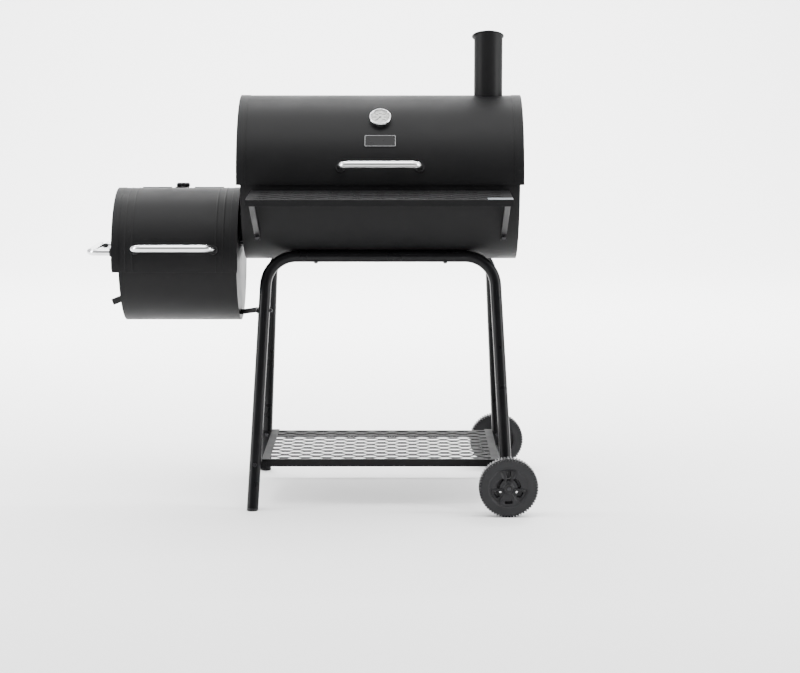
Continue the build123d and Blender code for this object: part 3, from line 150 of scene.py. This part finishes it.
def pressed_copy(cad_name, material, edge_mm=0.35, crease=32):
    """A copy of a frame node with its loose triangles joined and its sharp edges eased.

    Faces that meet at less than the crease angle shade as one surface; the rest get a
    small rounded edge, which is what catches the light on cut and bent metal.
    """
    source = frame["nodes"][cad_name]
    mesh = source.data.copy()
    shape = bmesh.new()
    shape.from_mesh(mesh)
    bmesh.ops.remove_doubles(shape, verts=shape.verts, dist=2e-6)
    bmesh.ops.dissolve_limit(
        shape, angle_limit=math.radians(0.4), verts=shape.verts, edges=shape.edges)
    shape.to_mesh(mesh)
    shape.free()
    made = bpy.data.objects.new(cad_name + "_finished", mesh)
    bpy.context.scene.collection.objects.link(made)
    mesh.shade_smooth()
    mesh.set_sharp_from_angle(angle=math.radians(crease))
    if edge_mm:
        eased = made.modifiers.new("eased edges", "BEVEL")
        eased.width = edge_mm * MM
        eased.segments = 2
        eased.limit_method = "ANGLE"
        eased.angle_limit = math.radians(crease)
        eased.harden_normals = True
        eased.use_clamp_overlap = True
    return finish_piece(made, source["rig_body"], material, [cad_name])


stand_coat = coated_steel("semi_gloss_powder_coat", "0B0B0C", "111113", 0.3, 2, 0.04)
for leg in ("leg_front_left", "leg_rear_left", "leg_front_right", "leg_rear_right"):
    pressed_copy(leg, stand_coat, 0.25)
pressed_copy("rail_sleeves", stand_coat, 0.25)


def moulded_plastic(name, colour, rough, grain_mm, bump_mm):
    """Injection-moulded plastic: an even matte skin with the fine spark texture of the tool."""
    made, tree, output, place = start_material(name)
    grain = node(tree, "ShaderNodeTexNoise", links={
        "Vector": place, "Scale": 1 / (grain_mm * MM), "Detail": 2.0, "Roughness": 0.7})
    patch = node(tree, "ShaderNodeTexNoise", links={
        "Vector": place, "Scale": 1 / (18 * MM), "Detail": 3.0})
    gloss = node(tree, "ShaderNodeMapRange", links={
        "Value": patch.outputs["Fac"], "From Min": 0.3, "From Max": 0.7,
        "To Min": rough - 0.05, "To Max": rough + 0.05})
    bump = node(tree, "ShaderNodeBump", links={
        "Height": grain.outputs["Fac"], "Strength": 0.4, "Distance": bump_mm * MM})
    skin = node(tree, "ShaderNodeBsdfPrincipled", links={
        "Base Color": linear(colour), "Roughness": gloss.outputs["Result"],
        "IOR": 1.46, "Specular IOR Level": 0.3, "Normal": bump.outputs["Normal"]})
    tree.links.new(skin.outputs["BSDF"], output.inputs["Surface"])
    return made


foot_plastic = moulded_plastic("matte_polypropylene", "161617", 0.5, 1.2, 0.08)
pressed_copy("foot_plugs", foot_plastic, 0.8)

# ------------------------------------------------------------------ axle, caps and wheels
# A plain steel axle with plastic sleeves and caps runs through the two right-hand legs. Each
# wheel is one hard plastic moulding: a tyre band with cross bars, a flat sidewall, and a
# dished web with three broad lobes, six pockets and three small drain holes.


def plated_steel(name, colour, rough, streak_mm):
    """Zinc or chrome plate on drawn steel: a bright metal with faint drawing streaks."""
    made, tree, output, place = start_material(name)
    streak = node(tree, "ShaderNodeTexNoise", links={
        "Vector": place, "Scale": 1 / (streak_mm * MM), "Detail": 4.0, "Roughness": 0.6})
    gloss = node(tree, "ShaderNodeMapRange", links={
        "Value": streak.outputs["Fac"], "From Min": 0.3, "From Max": 0.7,
        "To Min": rough * 0.8, "To Max": rough * 1.3})
    skin = node(tree, "ShaderNodeBsdfPrincipled", links={
        "Base Color": linear(colour), "Metallic": 1.0, "Roughness": gloss.outputs["Result"]})
    tree.links.new(skin.outputs["BSDF"], output.inputs["Surface"])
    return made


black_zinc = plated_steel("black_zinc_plate", "3A3A3C", 0.36, 6)
pressed_copy("axle", black_zinc, 0.6)
pressed_copy("axle_caps", foot_plastic, 0.6)


def quads(rows, columns, wrap_columns=True):
    """Corner numbers of the faces of a grid of points, its columns closed into loops or not."""
    across = np.arange(columns if wrap_columns else columns - 1)
    r, c = np.meshgrid(np.arange(rows - 1), across, indexing="ij")
    beside = (c + 1) % columns
    faces = np.stack([r * columns + c, r * columns + beside,
                      (r + 1) * columns + beside, (r + 1) * columns + c], axis=-1)
    return faces.reshape(-1, 4)


def closed_mesh(name, sheets, crease=35):
    """Join grids of points, shaped (rows, columns, 3), into one closed mesh object.

    Each grid's columns close into a loop unless it is given as (grid, False). Points that
    coincide are merged, so a row drawn in to a point or a line becomes a closed pole or seam.
    """
    points, faces, start = [], [], 0
    for sheet in sheets:
        grid, wrap = sheet if isinstance(sheet, tuple) else (sheet, True)
        rows, columns = grid.shape[:2]
        points.append(grid.reshape(-1, 3))
        faces.append(quads(rows, columns, wrap) + start)
        start += rows * columns
    mesh = bpy.data.meshes.new(name)
    mesh.from_pydata(np.concatenate(points), [], np.concatenate(faces))
    shape = bmesh.new()
    shape.from_mesh(mesh)
    bmesh.ops.remove_doubles(shape, verts=shape.verts, dist=1e-6)
    bmesh.ops.dissolve_degenerate(shape, edges=shape.edges, dist=1e-7)
    bmesh.ops.recalc_face_normals(shape, faces=shape.faces)
    shape.to_mesh(mesh)
    shape.free()
    mesh.shade_smooth()
    mesh.set_sharp_from_angle(angle=math.radians(crease))
    made = bpy.data.objects.new(name, mesh)
    bpy.context.scene.collection.objects.link(made)
    return made


def turned(profile, centre, normal, side, count=96):
    """Points of a turned shape: each (radius, height) of the profile is spun about the normal."""
    profile = np.array(profile, float) * MM
    normal = np.array(normal, float)
    side = np.array(side, float)
    third = np.cross(normal, side)
    turn = np.linspace(0, 2 * np.pi, count, endpoint=False)
    ring = np.cos(turn)[:, None] * side + np.sin(turn)[:, None] * third
    return (np.array(centre, float) + profile[:, None, :1] * ring[None]
            + profile[:, None, 1:] * normal)


def step(value, low, high):
    """A smooth rise from 0 to 1 between two values, 3t^2 - 2t^3."""
    t = np.clip((value - low) / (high - low), 0, 1)
    return t * t * (3 - 2 * t)


def cut_away(made, cutter, name, crease):
    """Cut one closed mesh out of another for good, and remove the cutter."""
    cut = made.modifiers.new(name, "BOOLEAN")
    cut.operation = "DIFFERENCE"
    cut.solver = "EXACT"
    cut.object = cutter
    bpy.context.view_layer.update()
    baked = bpy.data.meshes.new_from_object(
        made.evaluated_get(bpy.context.evaluated_depsgraph_get()))
    made.modifiers.clear()
    made.data = baked
    baked.set_sharp_from_angle(angle=math.radians(crease))
    bpy.data.objects.remove(cutter)


def tyre_and_web(name, centre, radius, half_width, outward):
    """A moulded wheel as one closed surface in polar form about the axle.

    The outer face is height(r, turn): a flat sidewall, a dished web, three lobes
    (1 + cos 3 turn) / 2 raised out of it, and six pockets, each a smooth box in turn and
    r. The tyre is radius(turn, width): cross bars given by a squared-off sine of the turn,
    cut shallower over the middle of the tread.
    """
    bars = 60
    rim_inside, rim_outside = 52, 56
    rim_drop, lobe_rise, hub_rise, pocket_depth = 3.2, 5.0, 4.0, 10
    turn = np.linspace(0, 2 * np.pi, bars * 8, endpoint=False)
    up = turn - np.pi / 2

    def face(r):
        r, t = np.meshgrid(r, up, indexing="ij")
        height = half_width - rim_drop * step(-r, -rim_outside, -rim_inside)
        lobe = 0.5 + 0.5 * np.cos(3 * (t + np.pi))
        lobe_span = step(r, 12, 20) * step(-r, -rim_inside, -47)
        height -= lobe_rise * (1 - step(lobe, 0.25, 0.55)) * lobe_span
        height += hub_rise * step(-r, -16, -12)
        pockets = [(5, 20, 46), (15, 26, 33), (9, 33, 42), (10, 36, 43), (9, 33, 42),
                   (15, 26, 33)]
        for k, (reach, low, high) in enumerate(pockets):
            across = np.abs((t - k * np.pi / 3 + np.pi) % (2 * np.pi) - np.pi) * r
            pocket = step(-across, -reach - 1, -reach + 1) * step(r, low - 1, low + 1)
            height -= pocket_depth * pocket * step(-r, -high - 1, -high + 1)
        return height

    def ring(r, height):
        x = r * np.cos(turn)[None, :]
        z = r * np.sin(turn)[None, :]
        grid = np.stack([x, np.broadcast_to(height, x.shape), z], axis=-1) * MM
        grid[..., 1] *= outward
        return grid + np.array(centre)

    bore = 5.06
    web = np.concatenate([[bore], np.arange(6.5, 30, 1.6), np.arange(30, 46, 0.8),
                          np.arange(46, radius - 7, 1.4)])[:, None]
    outer = ring(web, face(web[:, 0]))
    width = np.array([1, 0.95, 0.8, 0.6, 0.42, 0.32, 0]) * half_width
    width = np.concatenate([width, -width[-2::-1]])[:, None]
    gap = 1 - step(np.sin(bars * turn)[None, :], -0.35, 0.1)
    on_shoulder = 0.55 + 0.45 * step(np.abs(width), 0.3 * half_width, 0.4 * half_width)
    rounding = 0.8 * step(np.abs(width), 0.93 * half_width, 1.0 * half_width)
    tread_depth, side_notch, shoulder = 4.0, 1.6, 5.2
    tread = ring(radius - tread_depth * gap * on_shoulder - rounding, width)
    outer_side = ring(radius - np.array([[6.6], [shoulder]]),
                      half_width - side_notch * gap * np.array([[0], [1]]))
    back = np.array([radius - shoulder, rim_outside, rim_inside, 51, 20, 18, bore])[:, None]
    depth = np.array([0, 0, 0.5, 12, 12, 4, 4])[:, None]
    inner = ring(back, -half_width + depth)
    return closed_mesh(name, [np.concatenate([outer, outer_side, tread, inner, outer[:1]])], 40)


wheel_plastic = moulded_plastic("moulded_wheel_plastic", "18181A", 0.46, 1.6, 0.12)
drain_radius = 3.5
drain_circle = 26 * MM
for wheel in ("wheel_front", "wheel_rear"):
    low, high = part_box(wheel)
    hub = (low + high) / 2
    outward = -1 if wheel == "wheel_front" else 1
    tyre = tyre_and_web(wheel + "_moulding", hub, (high.z - low.z) / 2 / MM,
                        (high.y - low.y) / 2 / MM, outward)
    drills = [turned([(0, -40), (drain_radius, -40), (drain_radius, 40), (0, 40)],
                     hub + Vector((drain_circle * math.cos(a), 0, drain_circle * math.sin(a))),
                     (0, 1, 0), (1, 0, 0), 20)
              for a in (math.pi / 2, math.pi * 7 / 6, math.pi * 11 / 6)]
    cut_away(tyre, closed_mesh(wheel + "_drill", drills), "drain holes", 40)
    finish_piece(tyre, wheel, wheel_plastic, [wheel])

# ------------------------------------------------------------------ lower shelf
# A tray of pierced sheet with its edges folded down, bolted to two folded end frames whose
# top lips lie over its ends. It has a black enamel like that of the drums, but duller.
shelf_coat = coated_steel("satin_shelf_enamel", "0C0C0D", "121213", 0.6, 3, 0.12)
pressed_copy("lower_shelf", shelf_coat, 0.3)
pressed_copy("shelf_end_frames", shelf_coat, 0.4)

# ------------------------------------------------------------------ barrel
# The lower half of the drum is rolled sheet with flanged half-round plates spot-welded into
# its ends. The coat is a heat-proof satin black enamel with a soft, wide sheen.
barrel_coat = coated_steel("heat_proof_satin_enamel", "0B0B0C", "131314", 0.48, 2.5, 0.10, 120)
barrel_low, barrel_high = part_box("barrel_shell")
axis_y = (barrel_low.y + barrel_high.y) / 2
barrel_z = barrel_high.z
sheet = 1.0 * MM


def rolled_sheet(name, axis_z, radius, start, end, x_from, x_to, beads=(), bead=0.8):
    """Drum wall: the middle of the sheet is (x, angle) on a cylinder, given a thickness.

    Beads are rounded ridges bead * exp(-(x - x_bead)^2 / 2 s^2) rolled round the drum. The
    thickness falls to nothing over the last half sheet at every edge, as a half circle.
    """
    edge = (1 - np.cos(np.linspace(0, np.pi / 2, 5))) * sheet / 2
    fine = [np.linspace(b - 5 * MM, b + 5 * MM, 13) for b in beads]
    plain = np.linspace(x_from + sheet / 2, x_to - sheet / 2, 40)
    x = np.unique(np.concatenate([x_from + edge, plain, x_to - edge] + fine).round(7))
    turn_edge = edge / radius
    count = int(abs(end - start) / 1.5)
    middle = np.linspace(math.radians(start) + turn_edge[-1],
                         math.radians(end) - turn_edge[-1], count)
    turn = np.unique(np.concatenate(
        [math.radians(start) + turn_edge, middle, math.radians(end) - turn_edge]).round(9))
    near_x = np.minimum(x - x_from, x_to - x)
    near_turn = np.minimum(turn - turn[0], turn[-1] - turn) * radius
    near = np.minimum(near_x[None, :], near_turn[:, None])
    toward_edge = np.clip(1 - near / (sheet / 2), 0, 1)
    half = sheet / 2 * np.sqrt(1 - toward_edge**2)
    spread = 1.6 * MM
    ridge = sum(np.exp(-((x - b) / spread) ** 2 / 2) for b in beads) * bead * MM
    middle_radius = radius - sheet / 2 + np.broadcast_to(ridge, half.shape)
    layers = []
    for sign in (1, -1):
        r = middle_radius + sign * half
        grid = np.stack([np.broadcast_to(x, r.shape), axis_y + r * np.cos(turn)[:, None],
                         axis_z + r * np.sin(turn)[:, None]], axis=-1)
        layers.append((grid, False))
    return closed_mesh(name, layers, 50)


barrel_radius = (barrel_high.y - barrel_low.y) / 2
barrel_wall = rolled_sheet("barrel_wall", barrel_z, barrel_radius, 180, 360, barrel_low.x,
                           barrel_high.x)
finish_piece(barrel_wall, "stand", barrel_coat, ["barrel_shell"])
for part in ("barrel_end_left", "barrel_end_right", "hinge_body_leaves"):
    pressed_copy(part, barrel_coat, 0.5)
pressed_copy("hinge_pins", black_zinc, 0.4)
pressed_copy("stand_bolts", black_zinc, 0.4)

# ------------------------------------------------------------------ inside the barrel
# Welded wire grates and a wire rack, nickel-chrome plated; angle ledges and posts under the
# barrel's enamel, and a pressed pan with slots under a browner one, dulled by use.
grate_plate = plated_steel("plated_grate_wire", "9A9A99", 0.26, 4)
for part in ("cooking_grates", "warming_rack", "firebox_grate"):
    frame["nodes"][part].data.materials.clear()
    frame["nodes"][part].data.materials.append(grate_plate)
pan_coat = coated_steel("dulled_pan_enamel", "141312", "22201E", 0.5, 3, 0.15, 40)
for part in ("grate_ledges", "pan_posts"):
    pressed_copy(part, barrel_coat, 0.3)
pressed_copy("charcoal_pan", pan_coat, 0.4)

# ------------------------------------------------------------------ front shelf
# The same pierced and folded sheet as the lower shelf, carried on four flat bent bars that
# are bolted to the barrel, with a small blank plate riveted at its right-hand end.
pressed_copy("front_shelf", shelf_coat, 0.3)
pressed_copy("front_shelf_arms", stand_coat, 0.4)
pressed_copy("shelf_bolts", black_zinc, 0.4)
label_metal = plated_steel("satin_anodised_plate", "B4B9BE", 0.4, 3)
pressed_copy("shelf_label_plate", label_metal, 0.3)

# ------------------------------------------------------------------ firebox
# A smaller drum of the same rolled and flanged sheet, open over its front and top, with a
# folded collar to the barrel, a bent strut to the leg and a round damper on its left end.
for part in ("firebox_shell", "firebox_end_left", "firebox_end_right", "firebox_collar",
             "firebox_strut", "damper_shutter", "hood_end_bands", "hood_hinge_leaf"):
    pressed_copy(part, barrel_coat, 0.4)
pressed_copy("firebox_bolts", black_zinc, 0.4)
pressed_copy("damper_grip", foot_plastic, 1.2)

hood_low, hood_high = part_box("firebox_hood")
hood_radius = axis_y - hood_low.y
hood_z = hood_high.z - hood_radius
hood_end = 180 + math.degrees(math.asin((hood_z - hood_low.z) / hood_radius))
outer_bead, inner_bead = 38 * MM, 58 * MM
bead_x = [hood_low.x + outer_bead, hood_low.x + inner_bead, hood_high.x - outer_bead,
          hood_high.x - inner_bead]
hood_start = 70
hood_wall = rolled_sheet("firebox_hood_wall", hood_z, hood_radius, hood_start, hood_end,
                         hood_low.x, hood_high.x, bead_x)
finish_piece(hood_wall, "firebox_hood", barrel_coat, ["firebox_hood"])
pressed_copy("hood_handle_screws", black_zinc, 0.4)

# ------------------------------------------------------------------ main lid
# The upper half of the drum, with end caps that wrap over its edge as a flat band. Two
# hinges hold its rear edge and the chimney pipe passes up through it.
lid_low, lid_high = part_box("lid_shell")
lid_radius = lid_high.z - barrel_z
rear_edge_rise = 2 * MM
lid_start = math.degrees(math.asin(rear_edge_rise / lid_radius))
lid_end = 180 + math.degrees(math.asin((barrel_z - lid_low.z) / lid_radius))
lid_wall = rolled_sheet("main_lid_wall", barrel_z, lid_radius, lid_start, lid_end, lid_low.x,
                        lid_high.x)
flue_low, flue_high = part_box("chimney_pipe")
flue_x = (flue_low.x + flue_high.x) / 2
flue_clearance = 0.2
cut_radius = (flue_high.x - flue_low.x) / 2 / MM + flue_clearance
flue_cut = closed_mesh("flue_cut", [turned(
    [(0, 100), (cut_radius, 100), (cut_radius, 400), (0, 400)],
    (flue_x, axis_y, barrel_z), (0, 0, 1), (1, 0, 0), 96)])
cut_away(lid_wall, flue_cut, "flue opening", 50)
finish_piece(lid_wall, "main_lid", barrel_coat, ["lid_shell"])
for part in ("lid_end_left", "lid_end_right", "lid_hinge_leaves"):
    pressed_copy(part, barrel_coat, 0.4)
pressed_copy("lid_bolts", black_zinc, 0.4)
for part in ("chimney_pipe", "chimney_flange", "chimney_cap"):
    pressed_copy(part, barrel_coat, 0.4)

# ------------------------------------------------------------------ handles
# Three handles of bent steel tube, polished and chrome plated, each standing on two plain
# plastic spacers that keep the heat of the drum out of it.
chrome = plated_steel("polished_chrome_plate", "E4E5E6", 0.09, 12)
handle_leans = {"lid_handle": ("main_lid", 10), "hood_handle": ("firebox_hood", 9),
                "side_handle": ("stand", None)}
handle_leg, handle_radius, handle_bend = 58, 10, 28


def bent_handle(name, foot, outward, along, length, leg, radius, bend):
    """A tube swept round a U: straight leg, quarter circle, straight grip, and back.

    Each point of the centre line carries a circle in the plane square to the line. The two
    ends are drawn in to a point, over a small rounded rim.
    """
    quarter = np.linspace(0, np.pi / 2, 15)
    half = length / 2 - radius
    corner_u = -half + bend - bend * np.cos(quarter)
    corner_w = leg - bend + bend * np.sin(quarter)
    u = np.concatenate([[-half, -half, -half], corner_u, np.linspace(-half + bend, 0, 8)[1:]])
    w = np.concatenate([[0, 0, 0.5 * (leg - bend)], corner_w, np.full(7, leg)])
    scale = np.concatenate([[0, 1, 1], np.ones(len(corner_u) + 7)])
    u = np.concatenate([u, -u[-2::-1]])
    w = np.concatenate([w, w[-2::-1]])
    scale = np.concatenate([scale, scale[-2::-1]])
    line = np.stack([u, w], axis=-1)
    run = np.gradient(line, axis=0)
    run[:3] = (0, 1)
    run[-3:] = (0, -1)
    run /= np.linalg.norm(run, axis=1)[:, None]
    in_plane = np.stack([-run[:, 1], run[:, 0]], axis=-1)
    turn = np.linspace(0, 2 * np.pi, 40, endpoint=False)
    along, outward = np.array(along, float), np.array(outward, float)
    square = np.cross(along, outward)
    side = in_plane[:, :1] * along + in_plane[:, 1:] * outward
    centre = np.array(foot) + MM * (line[:, :1] * along + line[:, 1:] * outward)
    ring = (np.cos(turn)[None, :, None] * side[:, None]
            + np.sin(turn)[None, :, None] * square)
    return closed_mesh(name, [centre[:, None] + ring * (radius * MM * scale)[:, None, None]], 50)


for part, (body, lean) in handle_leans.items():
    low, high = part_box(part)
    tube = handle_radius * MM
    if lean is None:
        outward, along = Vector((-1, 0, 0)), Vector((0, 1, 0))
        grip = Vector((low.x + tube, (low.y + high.y) / 2, (low.z + high.z) / 2))
        length = (high.y - low.y) / MM
    else:
        slope = math.radians(lean)
        outward, along = Vector((0, -math.cos(slope), math.sin(slope))), Vector((1, 0, 0))
        grip = Vector(((low.x + high.x) / 2, low.y + tube, high.z - tube))
        length = (high.x - low.x) / MM
    foot = grip - outward * handle_leg * MM
    handle = bent_handle(part + "_tube", foot, outward, along, length, handle_leg,
                         handle_radius, handle_bend)
    finish_piece(handle, body, chrome, [part])
    pressed_copy(part + "_spacers", foot_plastic, 1.0)

# ------------------------------------------------------------------ thermometer
# A dial thermometer: a bright stainless case and rolled bezel, a printed white dial with a
# ring of marks and plain numbers, a black pointer on a central post, and a flat glass.
needle_joint = [j for j in frame["joints"] if j["name"] == "gauge_needle_pivot"][0]
gauge_normal = -Vector(needle_joint["axis"])
gauge_side = Vector((1, 0, 0))
gauge_up = gauge_normal.cross(gauge_side)
pivot = Vector(needle_joint["pos_m"])
stainless = plated_steel("bright_stainless_steel", "CFD0D1", 0.16, 5)
bezel_profile = [(25.6, 0), (28.6, 0), (29.6, 0.4), (30, 1.4), (30, 4.6), (29.5, 6.4), (28.4, 7.5),
                 (27, 7.9), (25.8, 7.4), (25.4, 6.6), (25.6, 0)]
needle_height, bezel_height, dial_drop = 11.5, 8, 0.66
gauge_base = pivot - gauge_normal * needle_height * MM
bezel_base = gauge_base + gauge_normal * bezel_height * MM
bezel = closed_mesh("thermometer_ring",
                    [turned(bezel_profile, bezel_base, gauge_normal, gauge_side)], 60)
finish_piece(bezel, "main_lid", stainless, ["thermometer_bezel"])
pressed_copy("thermometer_body", stainless, 0.5)

dial_paint = moulded_plastic("printed_dial_paint", "E9E9E6", 0.45, 1.5, 0.01)
dial_ink = moulded_plastic("dial_printing_ink", "1A1A1C", 0.5, 1.5, 0.01)
pressed_copy("thermometer_dial", dial_paint, 0.15)
dial_face = pivot - gauge_normal * dial_drop * MM


def dial_bar(angle, inner, outer, width):
    """One printed mark: a flat bar along a radius of the dial, 0.05 mm proud of it."""
    radial = gauge_side * math.sin(angle) + gauge_up * math.cos(angle)
    beside = gauge_side * math.cos(angle) - gauge_up * math.sin(angle)
    corners = [(inner, -1), (outer, -1), (outer, 1), (inner, 1)]
    flat = np.array([radial * r * MM + beside * s * width / 2 * MM for r, s in corners])
    low = flat + np.array(dial_face)
    high = low + np.array(gauge_normal) * 0.05 * MM
    middle = [np.broadcast_to(layer.mean(0), layer.shape) for layer in (low, high)]
    return np.stack([middle[0], low, high, middle[1]])


dial_end = 135
short_mark, long_mark = (20.5, 23.6, 0.8), (18.5, 23.6, 1.7)
marks = [dial_bar(angle, *(short_mark if k % 5 else long_mark))
         for k, angle in enumerate(np.radians(np.linspace(-dial_end, dial_end, 31)))]
dial_marks = closed_mesh("thermometer_dial_marks", marks)
finish_piece(dial_marks, "main_lid", dial_ink)
number_circle = 13.8
for k, angle in enumerate(np.radians(np.linspace(-dial_end, dial_end, 7))):
    words = bpy.data.curves.new("number", "FONT")
    words.body = str(100 * (k + 1))
    words.size = 5.8 * MM
    words.offset = 0.14 * MM
    words.extrude = 0.03 * MM
    words.align_x = "CENTER"
    words.align_y = "CENTER"
    carrier = bpy.data.objects.new("number", words)
    bpy.context.scene.collection.objects.link(carrier)
    bpy.context.view_layer.update()
    printed = bpy.data.meshes.new_from_object(carrier)
    bpy.data.objects.remove(carrier)
    points = np.zeros(len(printed.vertices) * 3)
    printed.vertices.foreach_get("co", points)
    points = points.reshape(-1, 3)
    place = (gauge_side * math.sin(angle) + gauge_up * math.cos(angle)) * number_circle * MM
    points = (np.array(dial_face + place) + points[:, :1] * np.array(gauge_side)
              + points[:, 1:2] * np.array(gauge_up) + points[:, 2:] * np.array(gauge_normal))
    printed.vertices.foreach_set("co", points.ravel())
    number = bpy.data.objects.new("thermometer_number_" + str(k + 1), printed)
    bpy.context.scene.collection.objects.link(number)
    finish_piece(number, "main_lid", dial_ink)

needle_paint = moulded_plastic("black_needle_paint", "161617", 0.4, 1.5, 0.01)
pressed_copy("thermometer_needle", needle_paint, 0.1)


def flat_glass(name):
    """Clear soda-lime glass: no colour, a sharp reflection and the light bent through it."""
    made, tree, output, _ = start_material(name)
    clear = node(tree, "ShaderNodeBsdfPrincipled", links={
        "Base Color": linear("FFFFFF"), "Roughness": 0.0, "IOR": 1.45,
        "Transmission Weight": 1.0})
    tree.links.new(clear.outputs["BSDF"], output.inputs["Surface"])
    return made


glass = flat_glass("clear_gauge_glass")
pressed_copy("thermometer_glass", glass, 0.1)

# ------------------------------------------------------------------ name plate
# A small stamped plate riveted to the lid, left blank: a black field inside a bright,
# slightly raised border.
plate_ink = moulded_plastic("black_plate_enamel", "0C0C0D", 0.3, 2, 0.02)
pressed_copy("name_plate", plate_ink, 0.3)
plate_low, plate_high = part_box("name_plate")
plate_lean = math.radians(28.7)
plate_half_high = 17.5 * MM
border_inset = 1.6 * MM
plate_out = np.array([0, -math.cos(plate_lean), math.sin(plate_lean)])
plate_up = np.array([0, math.sin(plate_lean), math.cos(plate_lean)])
plate_across = np.array([1.0, 0, 0])
plate_centre = np.array((plate_low + plate_high) / 2)
half_long = (plate_high.x - plate_low.x) / 2 - border_inset
half_high = plate_half_high - border_inset


def raised_border(name, half_u, half_v, corner, width, height):
    """A bead on the plate: a half ellipse, width by height, carried round a rectangle.

    The outline has round corners: each is (cos t, sin t) * corner about its own centre. The
    foot of the bead goes a little way into the plate.
    """
    t = np.linspace(0, 2 * np.pi, 4 * 9, endpoint=False) + np.pi / 36
    u = np.sign(np.cos(t)) * (half_u - corner) + corner * np.cos(t)
    v = np.sign(np.sin(t)) * (half_v - corner) + corner * np.sin(t)
    arch = np.linspace(0, 2 * np.pi, 12, endpoint=False)
    inward = np.stack([np.cos(t), np.sin(t)], axis=-1)
    offset = np.cos(arch) * width / 2
    lift = np.maximum(np.sin(arch), -0.3) * height
    pu = u[:, None] + inward[:, :1] * offset
    pv = v[:, None] + inward[:, 1:] * offset
    grid = (plate_centre + pu[..., None] * plate_across + pv[..., None] * plate_up
            + (lift + 0.5 * MM)[None, :, None] * plate_out)
    return closed_mesh(name, [np.concatenate([grid, grid[:1]])], 60)


border_metal = plated_steel("bright_plate_border", "8E8F90", 0.3, 3)
border = raised_border("name_plate_border", half_long, half_high, 2.2 * MM, 1.4 * MM, 0.45 * MM)
finish_piece(border, "main_lid", border_metal)

# ------------------------------------------------------------------ floor, light and camera
# A pale seamless floor that curves up behind the grill, a large soft light above and in
# front, and weaker ones at the sides that draw the edges of the drums.
floor_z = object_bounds()[0][2]
curve_from, curve_radius = 6, 3
curve = np.linspace(0.1, np.pi / 2, 14)
depth = np.concatenate([[-9.0, curve_from], curve_from + curve_radius * np.sin(curve), [9.0]])
rise = np.concatenate([[0, 0], curve_radius - curve_radius * np.cos(curve), [12.0]])
width = np.linspace(-14, 14, 2)
sweep_grid = np.stack(np.broadcast_arrays(width[None, :], depth[:, None],
                                          floor_z + rise[:, None]), axis=-1)
floor_mesh = bpy.data.meshes.new("studio_floor")
floor_mesh.from_pydata(sweep_grid.reshape(-1, 3), [], quads(len(depth), 2, False))
floor_mesh.shade_smooth()
studio_floor = bpy.data.objects.new("studio_floor", floor_mesh)
bpy.context.scene.collection.objects.link(studio_floor)
paper, paper_tree, paper_output, _ = start_material("pale_studio_paper")
paper_skin = node(paper_tree, "ShaderNodeBsdfPrincipled", links={
    "Base Color": linear("F4F4F4"), "Roughness": 0.9, "Specular IOR Level": 0.1})
paper_tree.links.new(paper_skin.outputs["BSDF"], paper_output.inputs["Surface"])
floor_mesh.materials.append(paper)

world = bpy.data.worlds.new("studio")
world.use_nodes = True
bpy.context.scene.world = world
world.node_tree.nodes.clear()
sky = world.node_tree
way = node(sky, "ShaderNodeSeparateXYZ", links={
    "Vector": node(sky, "ShaderNodeTexCoord").outputs["Generated"]})
walls = node(sky, "ShaderNodeMapRange", {"interpolation_type": "SMOOTHSTEP"}, {
    "Value": way.outputs["Y"], "From Min": -0.95, "From Max": 0.1, "To Min": 0.12,
    "To Max": 1.3})
ceiling = node(sky, "ShaderNodeMapRange", {"interpolation_type": "SMOOTHSTEP"}, {
    "Value": way.outputs["Z"], "From Min": 0.25, "From Max": 0.95, "To Min": 0.0,
    "To Max": 2.0})
level = node(sky, "ShaderNodeMath", {"operation": "ADD"}, {
    0: walls.outputs["Result"], 1: ceiling.outputs["Result"]})
light = node(sky, "ShaderNodeBackground", links={
    "Color": linear("FFFFFF"), "Strength": level.outputs["Value"]})
node(sky, "ShaderNodeOutputWorld", links={"Surface": light.outputs["Background"]})


def softbox(name, place, target, width, height, watts):
    """A rectangular studio light at a place, turned to face a target."""
    light = bpy.data.lights.new(name, "AREA")
    light.shape = "RECTANGLE"
    light.size = width
    light.size_y = height
    light.energy = watts
    holder = bpy.data.objects.new(name, light)
    bpy.context.scene.collection.objects.link(holder)
    holder.location = place
    holder.rotation_euler = (Vector(target) - Vector(place)).to_track_quat("-Z", "Y").to_euler()
    return holder


middle = Vector(((cad_box[0][0] + cad_box[1][0]) / 2, (cad_box[0][1] + cad_box[1][1]) / 2, 0.7))
softbox("top_light", (0, -1.0, 3.6), middle, 3.0, 1.2, 60)
softbox("left_light", (-3.4, -0.8, 1.5), middle, 0.8, 2.4, 110)
softbox("right_light", (3.4, -0.8, 1.6), middle, 0.8, 2.4, 110)
softbox("backdrop_light", (0, 3.0, 5.0), (0, 7.5, 0.6), 8.0, 2.0, 2000)

barrel_x = (barrel_low.x + barrel_high.x) / 2
lens = bpy.data.cameras.new("camera")
lens.sensor_width = 36
lens.lens = 87.85
camera_right, camera_back, camera_height, camera_tilt = 0.054, 5.540, 1.220, 7.95
camera = bpy.data.objects.new("camera", lens)
bpy.context.scene.collection.objects.link(camera)
camera.location = (barrel_x + camera_right, axis_y - camera_back, camera_height)
camera.rotation_euler = (math.radians(90 - camera_tilt), 0, 0)
bpy.context.scene.camera = camera
